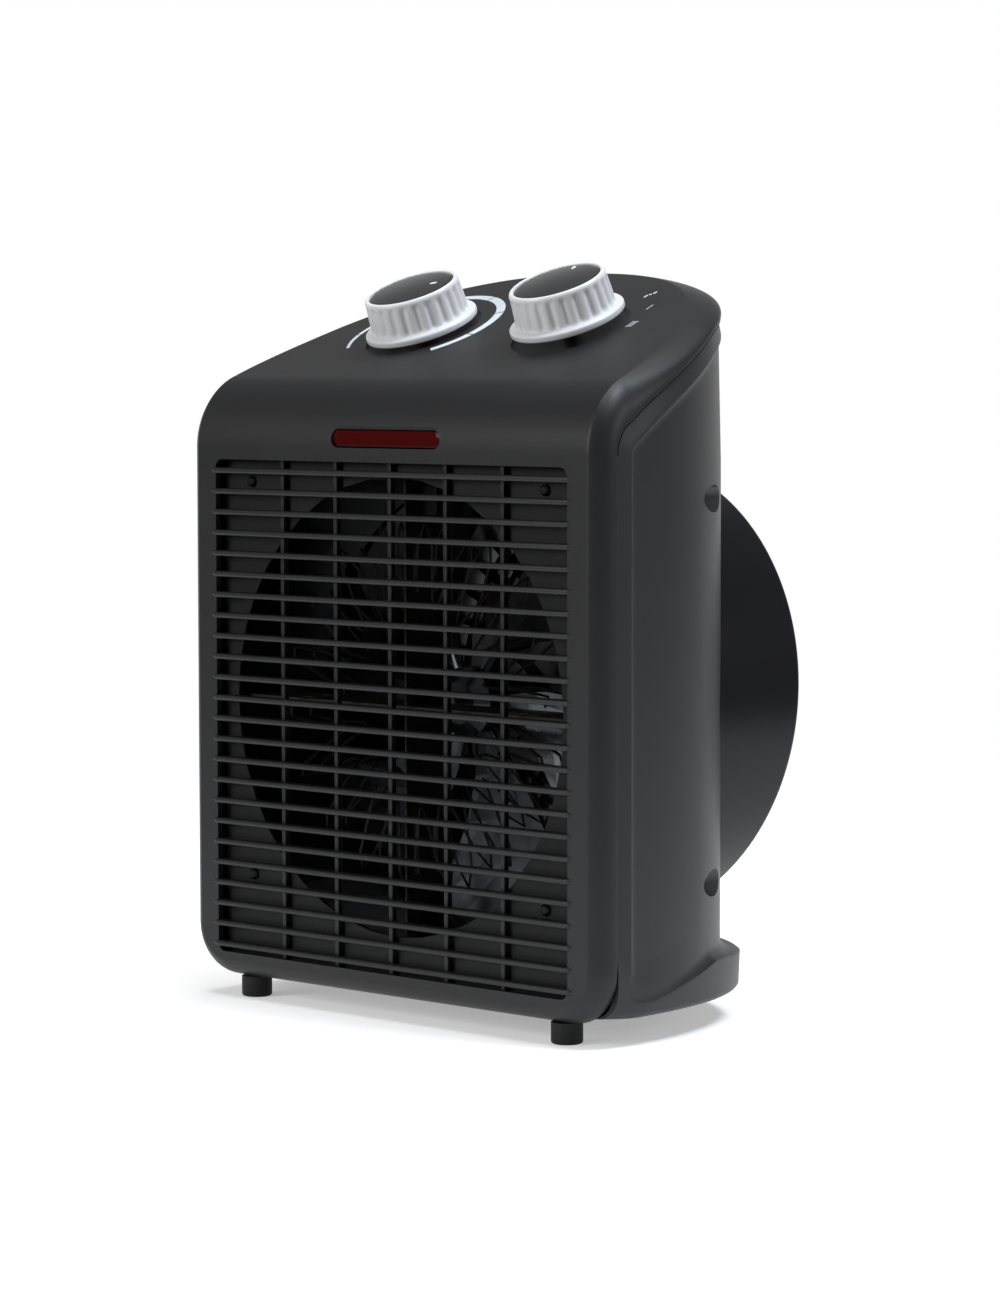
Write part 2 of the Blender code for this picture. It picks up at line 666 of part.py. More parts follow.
def make_guard(rear):
    """Finger guard across the drum's end: a hub plate, rings and spokes on the raked plane."""
    inner, outer = GRILLE_HUB - 1 * MM, DRUM_RADIUS - DRUM_WALL / 2
    spoke = (outer - inner, GRILLE_BAR, GRILLE_THICK)
    spokes = spread_boxes("guard_spokes", GRILLE_SPOKES, spoke, (inner + outer) / 2, GRILLE_THICK / 2)
    guard = cylinder("guard", GRILLE_HUB, -0.2 * MM, GRILLE_THICK + 0.2 * MM, 28)
    gap = (DRUM_RADIUS - DRUM_WALL - GRILLE_HUB) / (GRILLE_RINGS + 1)
    bm = bmesh.new()
    segments = 28
    for n in range(1, GRILLE_RINGS + 1):
        centre = GRILLE_HUB + n * gap
        low, high = 0.3 * MM, GRILLE_THICK - 0.3 * MM
        loops = []
        for radius, z in ((centre - GRILLE_BAR / 2, low), (centre + GRILLE_BAR / 2, low),
                          (centre + GRILLE_BAR / 2, high), (centre - GRILLE_BAR / 2, high)):
            turns = [2 * math.pi * s / segments for s in range(segments)]
            loops.append([bm.verts.new((radius * math.cos(t), radius * math.sin(t), z)) for t in turns])
        for a, b in zip(loops, loops[1:] + loops[:1]):
            for s in range(segments):
                j = (s + 1) % segments
                bm.faces.new((a[s], a[j], b[j], b[s]))
    rings = from_bmesh("guard_rings", bm)
    boolean(guard, spokes, "UNION")
    boolean(guard, rings, "UNION")
    for piece in (guard, spokes, rings):
        place(piece, (0, rear - GRILLE_THICK, AXIS_Z), (-math.pi / 2 - DRUM_RAKE, 0, 0))
    return guard


def make_feet(mat):
    """Pegs under the front cover and under the rear cover's floor."""
    for name, x, y, top in (
        ("front_foot_left", -FRONT_FOOT_X, FRONT_FOOT_Y, FOOT_HEIGHT),
        ("front_foot_right", FRONT_FOOT_X, FRONT_FOOT_Y, FOOT_HEIGHT),
        ("rear_foot_left", -REAR_FOOT_X, REAR_FOOT_Y, REAR_BOTTOM),
        ("rear_foot_right", REAR_FOOT_X, REAR_FOOT_Y, REAR_BOTTOM),
    ):
        edge, seat = 0.8 * MM, top - CLEARANCE
        profile = [(0, 0), (FOOT_RADIUS - edge, 0), (FOOT_RADIUS, edge), (FOOT_RADIUS, seat), (0, seat)]
        foot = lathe(name, profile, 16, mat)
        foot.location = (x, FACE_Y + y, 0)


def make_plate(mat, screw_mat):
    """Metal plate behind the grille, with the round mouth of the air duct, and its four screws."""
    half = OPENING_WIDTH / 2 + PLATE_MARGIN
    low, high = OPENING_BOTTOM - 3 * MM, OPENING_TOP + 2.5 * MM
    outline = rounded_rectangle(half, (high - low) / 2, 2 * MM, (high + low) / 2)
    plate = prism("heater_plate", outline, PLATE_Y + CLEARANCE, PLATE_Y + CLEARANCE + PLATE_THICK, "XZ", mat)
    mouth = cylinder("cut_mouth", PLATE_HOLE_RADIUS, -5 * MM, 15 * MM, 40)
    boolean(plate, along_y(mouth, 0, AXIS_Z, PLATE_Y))
    for n, (x, z) in enumerate(PLATE_SCREWS):
        for side in (-1, 1):
            hole = cylinder(f"cut_plate_{n}_{side}", 1.4 * MM, -2 * MM, 4 * MM, 12)
            boolean(plate, along_y(hole, side * x * MM, z * MM, PLATE_Y))
            screw = lathe(f"plate_screw_{2 * n + (side + 3) // 2}", [
                (0, -1 * MM), (1.2 * MM, -1 * MM), (1.9 * MM, -0.5 * MM), (1.9 * MM, 0),
                (1.1 * MM, 0), (1.1 * MM, 6 * MM), (0, 6 * MM)], 10, screw_mat)
            along_y(screw, side * x * MM, z * MM, PLATE_Y)
    return plate


def make_shield(mat):
    """Bright metal ring that keeps the element's heat off the plastic."""
    start = PLATE_Y + PLATE_THICK + 2 * CLEARANCE
    inner = SHIELD_RADIUS - SHIELD_WALL
    profile = [(inner, 0), (SHIELD_RADIUS, 0), (SHIELD_RADIUS, SHIELD_LENGTH), (inner, SHIELD_LENGTH)]
    return along_y(lathe("heat_shield", profile, 40, mat), 0, AXIS_Z, start)


def add_box(bm, centre, size):
    bmesh.ops.create_cube(bm, size=1, matrix=Matrix.Translation(centre) @ Matrix.Diagonal((*size, 1)))


def element_front():
    return PLATE_Y + PLATE_THICK + 4 * MM


def make_element(mica, wire, clip):
    """Crossed mica cards that carry two zigzag heating wires, with a thermal cut-out on the upright card."""
    front = element_front()
    reach = SHIELD_RADIUS - SHIELD_WALL - CLEARANCE
    cards = []
    for name, tilt in (("mica_card_upright", 0), ("mica_card_level", 1)):
        bm = bmesh.new()
        size = (CARD_THICK, CARD_DEPTH, 2 * reach) if tilt == 0 else (2 * reach, CARD_DEPTH, CARD_THICK)
        add_box(bm, (0, front + CARD_DEPTH / 2, AXIS_Z), size)
        card = from_bmesh(name, bm, mica)
        # The cards are slotted half way into each other
        bm = bmesh.new()
        half = CARD_DEPTH / 2 + CLEARANCE
        middle = front + (half / 2 if tilt == 0 else CARD_DEPTH - half / 2)
        gap = CARD_THICK + 2 * CLEARANCE
        add_box(bm, (0, middle, AXIS_Z), (gap, half, gap))
        boolean(card, from_bmesh(f"cut_{name}", bm))
        for level in (WIRE_LOW, WIRE_HIGH):
            for side in (-1, 1):
                bm = bmesh.new()
                along, across = 18 * MM, 2 * WIRE_RADIUS + 4 * CLEARANCE
                where = side * WIRE_RING_RADIUS
                centre = (0, front + level, AXIS_Z + where) if tilt == 0 else (where, front + level, AXIS_Z)
                add_box(bm, centre, (4 * MM, across, along) if tilt == 0 else (along, across, 4 * MM))
                boolean(card, from_bmesh(f"cut_{name}_{side}_{round(level / MM)}", bm))
        cards.append(card)
    make_wire("heating_wire_low", front + WIRE_LOW, wire)
    make_wire("heating_wire_high", front + WIRE_HIGH, wire)
    outline = rounded_rectangle(4 * MM, 5 * MM, 1 * MM, AXIS_Z + reach - 7 * MM)
    shifted = [(x + CARD_THICK / 2 + CLEARANCE + 4 * MM, z) for x, z in outline]
    prism("thermal_cut_out", shifted, front + 6 * MM, front + 14 * MM, "XZ", clip)
    return cards


def make_wire(name, y, mat):
    """One zigzag heating wire: its radius swings as a sine round the ring, which is zero at each card."""
    curve = bpy.data.curves.new(name, "CURVE")
    curve.dimensions = "3D"
    curve.bevel_depth = WIRE_RADIUS
    curve.bevel_resolution = 0
    curve.use_fill_caps = True
    steps = WIRE_WAVES * 6
    start = math.radians(3)
    spline = curve.splines.new("POLY")
    spline.points.add(steps)
    for k in range(steps + 1):
        angle = start + (2 * math.pi - 2 * start) * k / steps
        radius = WIRE_RING_RADIUS + WIRE_SWING * math.sin(WIRE_WAVES * angle)
        spline.points[k].co = (radius * math.cos(angle), y, AXIS_Z + radius * math.sin(angle), 1)
    obj = bpy.data.objects.new(name, curve)
    bpy.context.scene.collection.objects.link(obj)
    curve.materials.append(mat)
    return obj


def make_fan(metal, steel):
    """Axial impeller pressed from sheet: twisted blades round a hub, on the motor's shaft."""
    bm = bmesh.new()
    for n in range(FAN_BLADES):
        base = 2 * math.pi * n / FAN_BLADES
        grids = []
        radial, chord = 4, 4
        for lift in (-BLADE_THICK / 2, BLADE_THICK / 2):
            grid = []
            for i in range(radial + 1):
                share = i / radial
                radius = FAN_HUB_RADIUS * 0.8 + (FAN_RADIUS - FAN_HUB_RADIUS * 0.8) * share
                span = math.radians(26 + 18 * share)
                pitch = math.radians(42 - 16 * share)
                row = []
                for j in range(chord + 1):
                    t = j / chord - 0.5
                    angle = base + t * span + 0.35 * share
                    rise = -t * span * radius * math.tan(pitch) * 0.45 + 1.5 * MM * (1 - 4 * t * t)
                    x, y = radius * math.cos(angle), radius * math.sin(angle)
                    row.append(bm.verts.new((x, y, rise + lift)))
                grid.append(row)
            grids.append(grid)
        low, high = grids
        for i in range(radial):
            for j in range(chord):
                bm.faces.new((low[i][j], low[i][j + 1], low[i + 1][j + 1], low[i + 1][j]))
                bm.faces.new((high[i][j], high[i + 1][j], high[i + 1][j + 1], high[i][j + 1]))
        for i in range(radial):
            bm.faces.new((low[i][0], low[i + 1][0], high[i + 1][0], high[i][0]))
            bm.faces.new((low[i][chord], high[i][chord], high[i + 1][chord], low[i + 1][chord]))
        for j in range(chord):
            bm.faces.new((low[0][j], high[0][j], high[0][j + 1], low[0][j + 1]))
            bm.faces.new((low[radial][j], low[radial][j + 1], high[radial][j + 1], high[radial][j]))
    blades = from_bmesh("blades", bm)
    bore = FAN_SHAFT_RADIUS + CLEARANCE
    half = FAN_DEPTH / 2
    profile = [
        (bore, -half), (FAN_HUB_RADIUS * 0.6, -half), (FAN_HUB_RADIUS, -half + 3 * MM),
        (FAN_HUB_RADIUS, half), (bore, half),
    ]
    hub = lathe("fan_impeller", profile, 20, metal)
    boolean(hub, blades, "UNION")
    along_y(hub, 0, AXIS_Z, FACE_Y + FAN_Y)
    along_y(blades, 0, AXIS_Z, FACE_Y + FAN_Y)
    tail = half + MOTOR_GAP + 2 * MOTOR_CAN + MOTOR_STACK - 3 * MM
    shaft = cylinder("motor_shaft", FAN_SHAFT_RADIUS, -half - 4 * MM, tail, 24, steel)
    along_y(shaft, 0, AXIS_Z, FACE_Y + FAN_Y)
    return hub


def spread_boxes(name, count, size, radius, height):
    """Equal boxes set out round the local Z axis, the first one pointing up once turned to the back."""
    bm = bmesh.new()
    for n in range(count):
        turn = Matrix.Rotation(-math.pi / 2 + 2 * math.pi * n / count, 4, "Z")
        place_box = Matrix.Translation((radius, 0, height)) @ Matrix.Diagonal((*size, 1))
        bmesh.ops.create_cube(bm, size=1, matrix=turn @ place_box)
    return from_bmesh(name, bm)


def make_motor(iron, copper, steel):
    """Shaded-pole motor: iron stack with a bearing can at each end, a coil, and its bracket to the drum."""
    start = FACE_Y + FAN_Y + FAN_DEPTH / 2 + MOTOR_GAP
    square = rounded_rectangle(MOTOR_SIZE / 2, MOTOR_SIZE / 2, 3 * MM, AXIS_Z)
    stack = prism("fan_motor", square, start + MOTOR_CAN, start + MOTOR_CAN + MOTOR_STACK, "XZ", iron)
    cans = cylinder("bearing_cans", MOTOR_CAN_RADIUS, 0, 2 * MOTOR_CAN + MOTOR_STACK, 32)
    boolean(stack, along_y(cans, 0, AXIS_Z, start), "UNION")
    bore_end = 2 * MOTOR_CAN + MOTOR_STACK - 2 * MM
    bore = cylinder("cut_motor_bore", FAN_SHAFT_RADIUS + CLEARANCE, -5 * MM, bore_end, 24)
    boolean(stack, along_y(bore, 0, AXIS_Z, start))
    coil_z = AXIS_Z + MOTOR_SIZE / 2 + COIL_HEIGHT / 2 + CLEARANCE
    coil_outline = rounded_rectangle(COIL_WIDTH / 2, COIL_HEIGHT / 2, 3 * MM, coil_z)
    coil_start = start + MOTOR_CAN - COIL_OVERHANG
    prism("motor_coil", coil_outline, coil_start, coil_start + MOTOR_STACK + 2 * COIL_OVERHANG, "XZ", copper)
    bracket_y = start + 2 * MOTOR_CAN + MOTOR_STACK + CLEARANCE
    bracket = cylinder("motor_bracket", MOTOR_CAN_RADIUS + BRACKET_MARGIN, 0, BRACKET_THICK, 36, steel)
    along_y(bracket, 0, AXIS_Z, bracket_y)
    reach = DRUM_RADIUS - DRUM_WALL - 2 * CLEARANCE
    tab = (TAB_THICK, BRACKET_ARM * 0.96, TAB_LENGTH)
    arm = (reach - tab[0] / 2 - MOTOR_CAN_RADIUS, BRACKET_ARM, BRACKET_THICK - 2 * CLEARANCE)
    arms = spread_boxes("bracket_arms", 3, arm, MOTOR_CAN_RADIUS + arm[0] / 2, BRACKET_THICK / 2)
    tabs = spread_boxes("bracket_tabs", 3, tab, reach - tab[0] / 2, tab[2] / 2)
    boolean(arms, along_y(tabs, 0, AXIS_Z, bracket_y), "UNION")
    boolean(bracket, along_y(arms, 0, AXIS_Z, bracket_y), "UNION")
    under_head = MOTOR_SCREW_GRIP + BRACKET_THICK
    spot = math.radians(20)
    out = MOTOR_CAN_RADIUS + MOTOR_SCREW_OUT
    for n, side in enumerate((-1, 1)):
        x, z = side * out * math.cos(spot), AXIS_Z - out * math.sin(spot)
        screw = lathe(f"motor_screw_{n + 1}", [
            (0, 0), (SCREW_SHANK_RADIUS, 0), (SCREW_SHANK_RADIUS, under_head),
            (SCREW_HEAD_RADIUS, under_head), (SCREW_HEAD_RADIUS, under_head + MOTOR_SCREW_HEAD),
            (0, under_head + MOTOR_SCREW_HEAD),
        ], 10, steel)
        along_y(screw, x, z, bracket_y - MOTOR_SCREW_GRIP + CLEARANCE)
        hole = cylinder(f"cut_bracket_{n}", SCREW_SHANK_RADIUS + CLEARANCE, -5 * MM, 5 * MM, 16)
        boolean(bracket, along_y(hole, x, z, bracket_y))
    return bracket


def make_case_screws(mat):
    """Screws deep in the rear wells, into the front cover's bosses."""
    number = 1
    for side in (-1, 1):
        for z in SCREW_ZS:
            shelf = 2 * MM + CLEARANCE
            profile = [
                (0, 4 * MM - SCREW_LENGTH), (SCREW_SHANK_RADIUS, 5 * MM - SCREW_LENGTH),
                (SCREW_SHANK_RADIUS, shelf), (SCREW_HEAD_RADIUS, shelf),
                (SCREW_HEAD_RADIUS, shelf + 1.6 * MM), (0, shelf + 2.2 * MM),
            ]
            screw = lathe(f"case_screw_{number}", profile, 10, mat)
            along_y(screw, side * SCREW_X, z, FACE_Y + WELL_FLOOR_Y)
            number += 1


def make_inlet(mat):
    """Bush in the rear cover where a mains lead would enter."""
    turn = 0.0
    while plan_point(turn)[0] > abs(INLET_X):
        turn += math.radians(0.5)
    wall_y = plan_point(turn)[1]
    half = INLET_LENGTH / 2
    outer = INLET_RADIUS - CLEARANCE
    profile = [(INLET_BORE, -half), (outer, -half), (outer, half), (INLET_BORE, half)]
    return along_y(lathe("cord_inlet_bush", profile, 16, mat), INLET_X, INLET_Z, FACE_Y + wall_y - 1 * MM)


def clear_scene():
    for obj in list(bpy.data.objects):
        bpy.data.objects.remove(obj, do_unlink=True)


def main():
    clear_scene()
    body = material("satin_black_plastic", (0.030, 0.030, 0.032), 0.45)
    drum = material("gloss_black_plastic", (0.018, 0.018, 0.019), 0.3)
    knob = material("pale_grey_plastic", (0.62, 0.64, 0.67), 0.4)
    cap = material("dark_cap_plastic", (0.03, 0.03, 0.032), 0.25)
    lens = material("red_lens", (0.25, 0.01, 0.01), 0.2)
    plate = material("black_plate", (0.02, 0.02, 0.02), 0.5)
    bright = material("bright_aluminium", (0.75, 0.76, 0.78), 0.25, 1.0)
    steel = material("zinc_steel", (0.55, 0.56, 0.57), 0.35, 1.0)
    iron = material("stator_iron", (0.28, 0.28, 0.3), 0.5, 1.0)
    copper = material("taped_coil", (0.55, 0.38, 0.08), 0.5)
    bakelite = material("bakelite", (0.05, 0.035, 0.03), 0.5)
    mica = material("mica", (0.6, 0.56, 0.45), 0.4)
    wire = material("heating_wire", (0.3, 0.28, 0.27), 0.5, 1.0)
    rubber = material("black_rubber", (0.02, 0.02, 0.02), 0.8)
    glass = material("neon_glass", (0.8, 0.4, 0.3), 0.1)
    controls = {"knob": knob, "cap": cap, "steel": steel, "bakelite": bakelite}
    make_front_cover(body)
    make_rear_cover(body)
    make_drum(drum)
    make_lens(lens)
    make_lamp(glass, bakelite)
    make_control("thermostat", -1, KNOB_LIFT, controls)
    make_control("selector", 1, SELECTOR_LIFT, controls)
    make_feet(rubber)
    make_plate(plate, steel)
    make_shield(bright)
    make_element(mica, wire, steel)
    make_fan(bright, steel)
    make_motor(iron, copper, steel)
    make_case_screws(steel)
    make_inlet(rubber)


main()
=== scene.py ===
import json
import math

import bmesh
import bpy
import numpy as np
from mathutils import Matrix, Vector

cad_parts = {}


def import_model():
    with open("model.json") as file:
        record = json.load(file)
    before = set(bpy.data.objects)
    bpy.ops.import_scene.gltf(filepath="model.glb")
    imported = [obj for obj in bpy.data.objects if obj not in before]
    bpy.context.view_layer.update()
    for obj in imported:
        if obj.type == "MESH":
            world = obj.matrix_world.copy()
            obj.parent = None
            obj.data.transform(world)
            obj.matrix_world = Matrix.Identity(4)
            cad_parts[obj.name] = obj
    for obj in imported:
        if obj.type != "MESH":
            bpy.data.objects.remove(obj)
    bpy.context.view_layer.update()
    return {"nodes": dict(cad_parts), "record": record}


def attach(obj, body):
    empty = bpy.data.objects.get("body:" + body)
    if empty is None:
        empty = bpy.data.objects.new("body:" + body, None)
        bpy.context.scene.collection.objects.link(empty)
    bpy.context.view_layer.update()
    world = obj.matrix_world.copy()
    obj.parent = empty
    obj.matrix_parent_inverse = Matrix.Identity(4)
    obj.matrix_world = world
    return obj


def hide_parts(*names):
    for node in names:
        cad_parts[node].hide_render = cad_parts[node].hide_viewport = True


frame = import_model()

MM = 0.001
QUARTER = math.pi / 2

# Sizes in millimetres: x across, y the depth from the front face, z the height over the floor
FACE_Y = -61.5
HALF = 96.0
WALL = 2.2
GAP = 0.3
FACE_TOP = 205.6
SLOPE = math.radians(23)
CORNER = 12.0
CORNER_Z = 24.8

# The bend between the face and the control panel
BEND = 26.0
BEND_TURN = QUARTER - SLOPE
BEND_Z = FACE_TOP - BEND * math.tan(BEND_TURN / 2)
BEND_END = BEND * (1 - math.cos(BEND_TURN))

# The round back, a superellipse in plan
PLAN_START = 20.0
PLAN_REACH = 90.0
PLAN_POWER = 2 / 2.25

# The shoulder outside the crease: it gains width over a run that starts behind the face
SHOULDER = 5.5
SHOULDER_GAIN = 6.0
SHOULDER_START = 8.0
SHOULDER_RUN = 50.0
CREASE = HALF - SHOULDER
CREASE_TURN = 0.36

# The seam's distance from the surface: on the face, where the bend ends and at the back
SEAM = 8.4
SEAM_BEND = 13.0
SEAM_BACK = 4.0
SEAM_RUN = 48.0

# Points on each stretch of the rim
CORNER_STEPS = 13
SIDE_STEPS = 149
BEND_STEPS = 30
BACK_STEPS = 110

# The grille: half width, low edge, high edge and corner radius of its opening, then its bars
OPENING = (82.0, 15.7, 184.5, 3.0)
SLATS = 24
SLAT_PITCH = 7.056
SLAT_HALF = 0.95
SLAT_SINK = 1.15
RIBS = 5
RIB_PITCH = 25.7
RIB_HALF = 0.9
RIB_DEPTH = (2.2, 4.4)

# The indicator window
LENS_HALF = 25.0
LENS_RISE = 2.8
LENS_Z = 192.3
LENS_SLOT = (LENS_HALF + GAP, LENS_Z - LENS_RISE - GAP, LENS_Z + LENS_RISE + GAP, LENS_RISE)
SLOT_DEPTH = 3.0

# The controls: the shaft's place on the panel, then sizes in a frame whose z runs along the shaft
KNOB_X = 34.3
KNOB_Y = 52.8
KNOB_RISE = 14.3
FLANGE = 19.6
GRIP = 17.2
HOLLOW = 14.2
COLLAR = 5.3
BORE = 3.3
FLUTES = 24
FLUTE_DEPTH = 0.75
SHAFT_HOLE = 3.6
RECESS = 20.6
CAP = 14.6
CROWN = 0.6

# The print on the panel
PRINT_RISE = 0.05
SCALE_RADIUS = 27.3
SCALE_CENTRE = (-1.5, 2.0)
FAN_SIGN = (10.8, 29.8)
ONE_SIGN = (19.6, 18.6)
TWO_SIGN = (22.9, 24.3, 4.4)

# The drum and its finger guard
AXIS_Z = 103.6
DRUM = 79.5
DRUM_WALL = 2.0
DRUM_ROUND = 1.4
DRUM_START = 52.0
DRUM_STEPS = 180
RAKE = math.radians(5)
DRUM_REAR = 62.5 - DRUM * math.sin(RAKE) - FACE_Y
GUARD_HUB = 17.0
GUARD_DEPTH = 6.0
GUARD_BAR = 2.0
GUARD_RINGS = 12
GUARD_SPOKES = 48

# The rear cover: x, z and radius of the cord inlet and of the screw wells
REAR_BOTTOM = 9.3
INLET = (-58.0, 36.0, 5.5)
WELLS = [(side * 86.0, z, 4.5) for side in (-1, 1) for z in (173.1, 47.7)]
WELL_FLOOR = 26.0
WELL_MOUTH = 108.0

# The rear cover's foot: how far it stands out, how high its shelf climbs, its lean and its edges
FLARE_STEP = 0.5
FLARE = 6.5
FLARE_RUN = 65.0
SHELF = 2.5
SHELF_CLIMB = 11.2
SHELF_RUN = 52.0
LEAN = 0.9
LEAN_RUN = 90.0
LOW_EDGE = 2.5
LOW_EDGE_GAIN = 7.0
LOW_EDGE_RUN = 12.0
FILLET = 4.0

# The photograph's camera, solved from the grille: metres, degrees of yaw, pitch and roll, millimetres
CAMERA_PLACE = (0.98019, -1.02199, 0.22101)
CAMERA_TURNS = (44.0001, 4.0839, -0.1023)
CAMERA_LENS = 115.98


class Value:
    """A shader socket that takes Python arithmetic."""

    def __init__(self, net, socket):
        self.net = net
        self.socket = socket

    def math(self, operation, other):
        """One maths node between this value and a number or another value."""
        return self.net.node("ShaderNodeMath", 0, {"operation": operation}, {0: self, 1: other})

    def __add__(self, other):
        return self.math("ADD", other)

    def __mul__(self, other):
        return self.math("MULTIPLY", other)

    __radd__ = __add__
    __rmul__ = __mul__


class Net:
    """The nodes of one material or of the world. Constants go straight onto the shader's own sockets."""

    def __init__(self, tree, **constants):
        self.tree = tree
        self.shader = tree.nodes.get("Principled BSDF")
        for key, value in constants.items():
            socket = self.shader.inputs[key.replace("_", " ")]
            socket.default_value = (*value, 1) if isinstance(value, tuple) else value

    def feed(self, socket, value):
        """Links a value to a socket, or sets the socket where the value is a plain one."""
        if isinstance(value, Value):
            self.tree.links.new(value.socket, socket)
        else:
            socket.default_value = value

    def node(self, kind, output, settings=None, inputs=None):
        """Any node: its settings come first, then the values or links of its sockets, by name or number."""
        node = self.tree.nodes.new(kind)
        for key, value in (settings or {}).items():
            setattr(node, key, value)
        for key, value in (inputs or {}).items():
            self.feed(node.inputs[key], value)
        return Value(self, node.outputs[output])

    def vary(self, key, value):
        """Gives one input of the shader a value that varies over the surface."""
        self.feed(self.shader.inputs[key], value)

    def where(self):
        """Place on the object in metres."""
        return self.node("ShaderNodeTexCoord", "Object")

    def noise(self, scale, detail=2.0):
        """Noise between 0 and 1, finer with a higher scale."""
        inputs = {"Vector": self.where(), "Scale": scale, "Detail": detail}
        return self.node("ShaderNodeTexNoise", "Fac", inputs=inputs)

    def fade(self, value, start, end, first, last):
        """Smooth run from a first to a last level while the value goes from start to end."""
        inputs = {"Value": value, "From Min": start, "From Max": end, "To Min": first, "To Max": last}
        return self.node("ShaderNodeMapRange", "Result", {"interpolation_type": "SMOOTHSTEP"}, inputs)

    def rays(self, *kinds):
        """One for the named kinds of ray and zero for the others."""
        return sum(self.node("ShaderNodeLightPath", f"Is {kind} Ray") for kind in kinds)


def new_material(name, **constants):
    """Empty material and the net that fills it."""
    material = bpy.data.materials.new(name)
    material.use_nodes = True
    return material, Net(material.node_tree, **constants)


def plastic(name, colour, roughness, grain=0.0, **more):
    """Moulded plastic: roughness plus or minus 0.03 in soft patches, and a fine grain where one is given."""
    material, net = new_material(name, Base_Color=colour, **more)
    net.vary("Roughness", net.noise(60.0, 3.0) * 0.06 + (roughness - 0.03))
    if grain:
        inputs = {"Height": net.noise(2200.0), "Strength": grain, "Distance": 0.0002}
        net.vary("Normal", net.node("ShaderNodeBump", "Normal", inputs=inputs))
    return material


def metal(name, colour, roughness):
    """Rolled or plated metal: roughness from 0.07 less to 0.08 more than the given one, in a fine pattern."""
    material, net = new_material(name, Base_Color=colour, Metallic=1.0)
    net.vary("Roughness", net.noise(900.0) * 0.15 + (roughness - 0.07))
    return material


FRONT_PLASTIC = plastic("front plastic", (0.0115, 0.0115, 0.012), 0.42, 0.25, Specular_IOR_Level=0.3)
REAR_PLASTIC = plastic("rear plastic", (0.017, 0.017, 0.0182), 0.44, 0.3, Specular_IOR_Level=0.3)
DRUM_PLASTIC = plastic("drum plastic", (0.006, 0.006, 0.007), 0.3, 0.1, Specular_IOR_Level=0.15)
FOOT_RUBBER = plastic("foot rubber", (0.012, 0.012, 0.012), 0.6, Specular_IOR_Level=0.2)
KNOB_PLASTIC = plastic("knob plastic", (0.66, 0.663, 0.67), 0.38, 0.05)
CAP_PLASTIC = plastic("cap plastic", (0.025, 0.025, 0.026), 0.2)
PALE_PRINT = plastic("pale print", (0.55, 0.6, 0.63), 0.5)
WHITE_MARK = plastic("white mark", (0.85, 0.85, 0.85), 0.4)
PLATE_PAINT = plastic("plate paint", (0.009, 0.009, 0.009), 0.55, 0.1, Specular_IOR_Level=0.25)
BAKELITE = plastic("bakelite", (0.03, 0.022, 0.018), 0.45)
# Mica this dark is painted shade: the boards stand inside the duct, whose inside reads almost black
MICA = plastic("mica", (0.012, 0.011, 0.009), 0.6, Specular_IOR_Level=0.2)
COIL_TAPE = plastic("coil tape", (0.05, 0.03, 0.008), 0.5)
LENS_RED = plastic("lens red", (0.05, 0.001, 0.0008), 0.15, Specular_IOR_Level=0.12)
NEON_GLASS = plastic("neon glass", (0.6, 0.3, 0.2), 0.1)
ALUMINIUM = metal("bright aluminium", (0.07, 0.072, 0.077), 0.3)
STEEL = metal("zinc steel", (0.2, 0.2, 0.205), 0.36)
# Dark steel: the plate's screws' own blackened finish, and painted shade on the motor bracket and the thermal
# cut-out deep inside
BLACK_STEEL_AND_SHADE = metal("blackened steel and painted shade", (0.02, 0.02, 0.021), 0.5)
# Aluminium this dark is painted shade: it keeps the heat shield as dark as the shaded inside of the duct
SHADE_DARK_ALUMINIUM = metal("aluminium darkened as painted shade", (0.018, 0.018, 0.02), 0.4)
IRON = metal("stator iron", (0.08, 0.08, 0.085), 0.5)
WIRE = metal("heating wire", (0.04, 0.037, 0.035), 0.5)

SLOT_LOOKS = {
    "front_plastic": FRONT_PLASTIC,
    "rear_plastic": REAR_PLASTIC,
    "drum_plastic": DRUM_PLASTIC,
    "red_lens": LENS_RED,
    "neon_glass": NEON_GLASS,
    "bakelite": BAKELITE,
    "knob_plastic": KNOB_PLASTIC,
    "cap_plastic": CAP_PLASTIC,
    "steel": STEEL,
    "foot_rubber": FOOT_RUBBER,
    "black_plate": PLATE_PAINT,
    "bright_aluminium": ALUMINIUM,
    "mica": MICA,
    "heating_wire": WIRE,
    "stator_iron": IRON,
    "taped_coil": COIL_TAPE,
    "bush_rubber": FOOT_RUBBER,
}
# The heat shield, the motor bracket and the thermal cut-out are darkened as painted shade for the dark
# inside; the plate's screws are dark steel of their own
NODE_LOOKS = {"heat_shield": SHADE_DARK_ALUMINIUM, "motor_bracket": BLACK_STEEL_AND_SHADE, "thermal_cut_out": BLACK_STEEL_AND_SHADE}
NODE_LOOKS.update({f"plate_screw_{n}": BLACK_STEEL_AND_SHADE for n in range(1, 5)})


def dress_nodes():
    """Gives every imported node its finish, and smooth shading up to its sharp edges."""
    slots = {entry["node"]: entry["material_slot"] for entry in frame["record"]["subparts"]}
    for name, obj in frame["nodes"].items():
        obj.data.materials.clear()
        obj.data.materials.append(NODE_LOOKS.get(name, SLOT_LOOKS[slots[name]]))
        obj.data.shade_smooth()
        obj.data.set_sharp_from_angle(angle=math.radians(32))


def quads(rows, columns, wrap_rows=False, wrap_columns=False):
    """Corner numbers of the quads between the neighbours in a grid of points."""
    index = np.arange(rows * columns).reshape(rows, columns)
    if wrap_rows:
        index = np.vstack([index, index[:1]])
    if wrap_columns:
        index = np.hstack([index, index[:, :1]])
    corners = [index[:-1, :-1], index[:-1, 1:], index[1:, 1:], index[1:, :-1]]
    return np.stack(corners, -1).reshape(-1, 4)


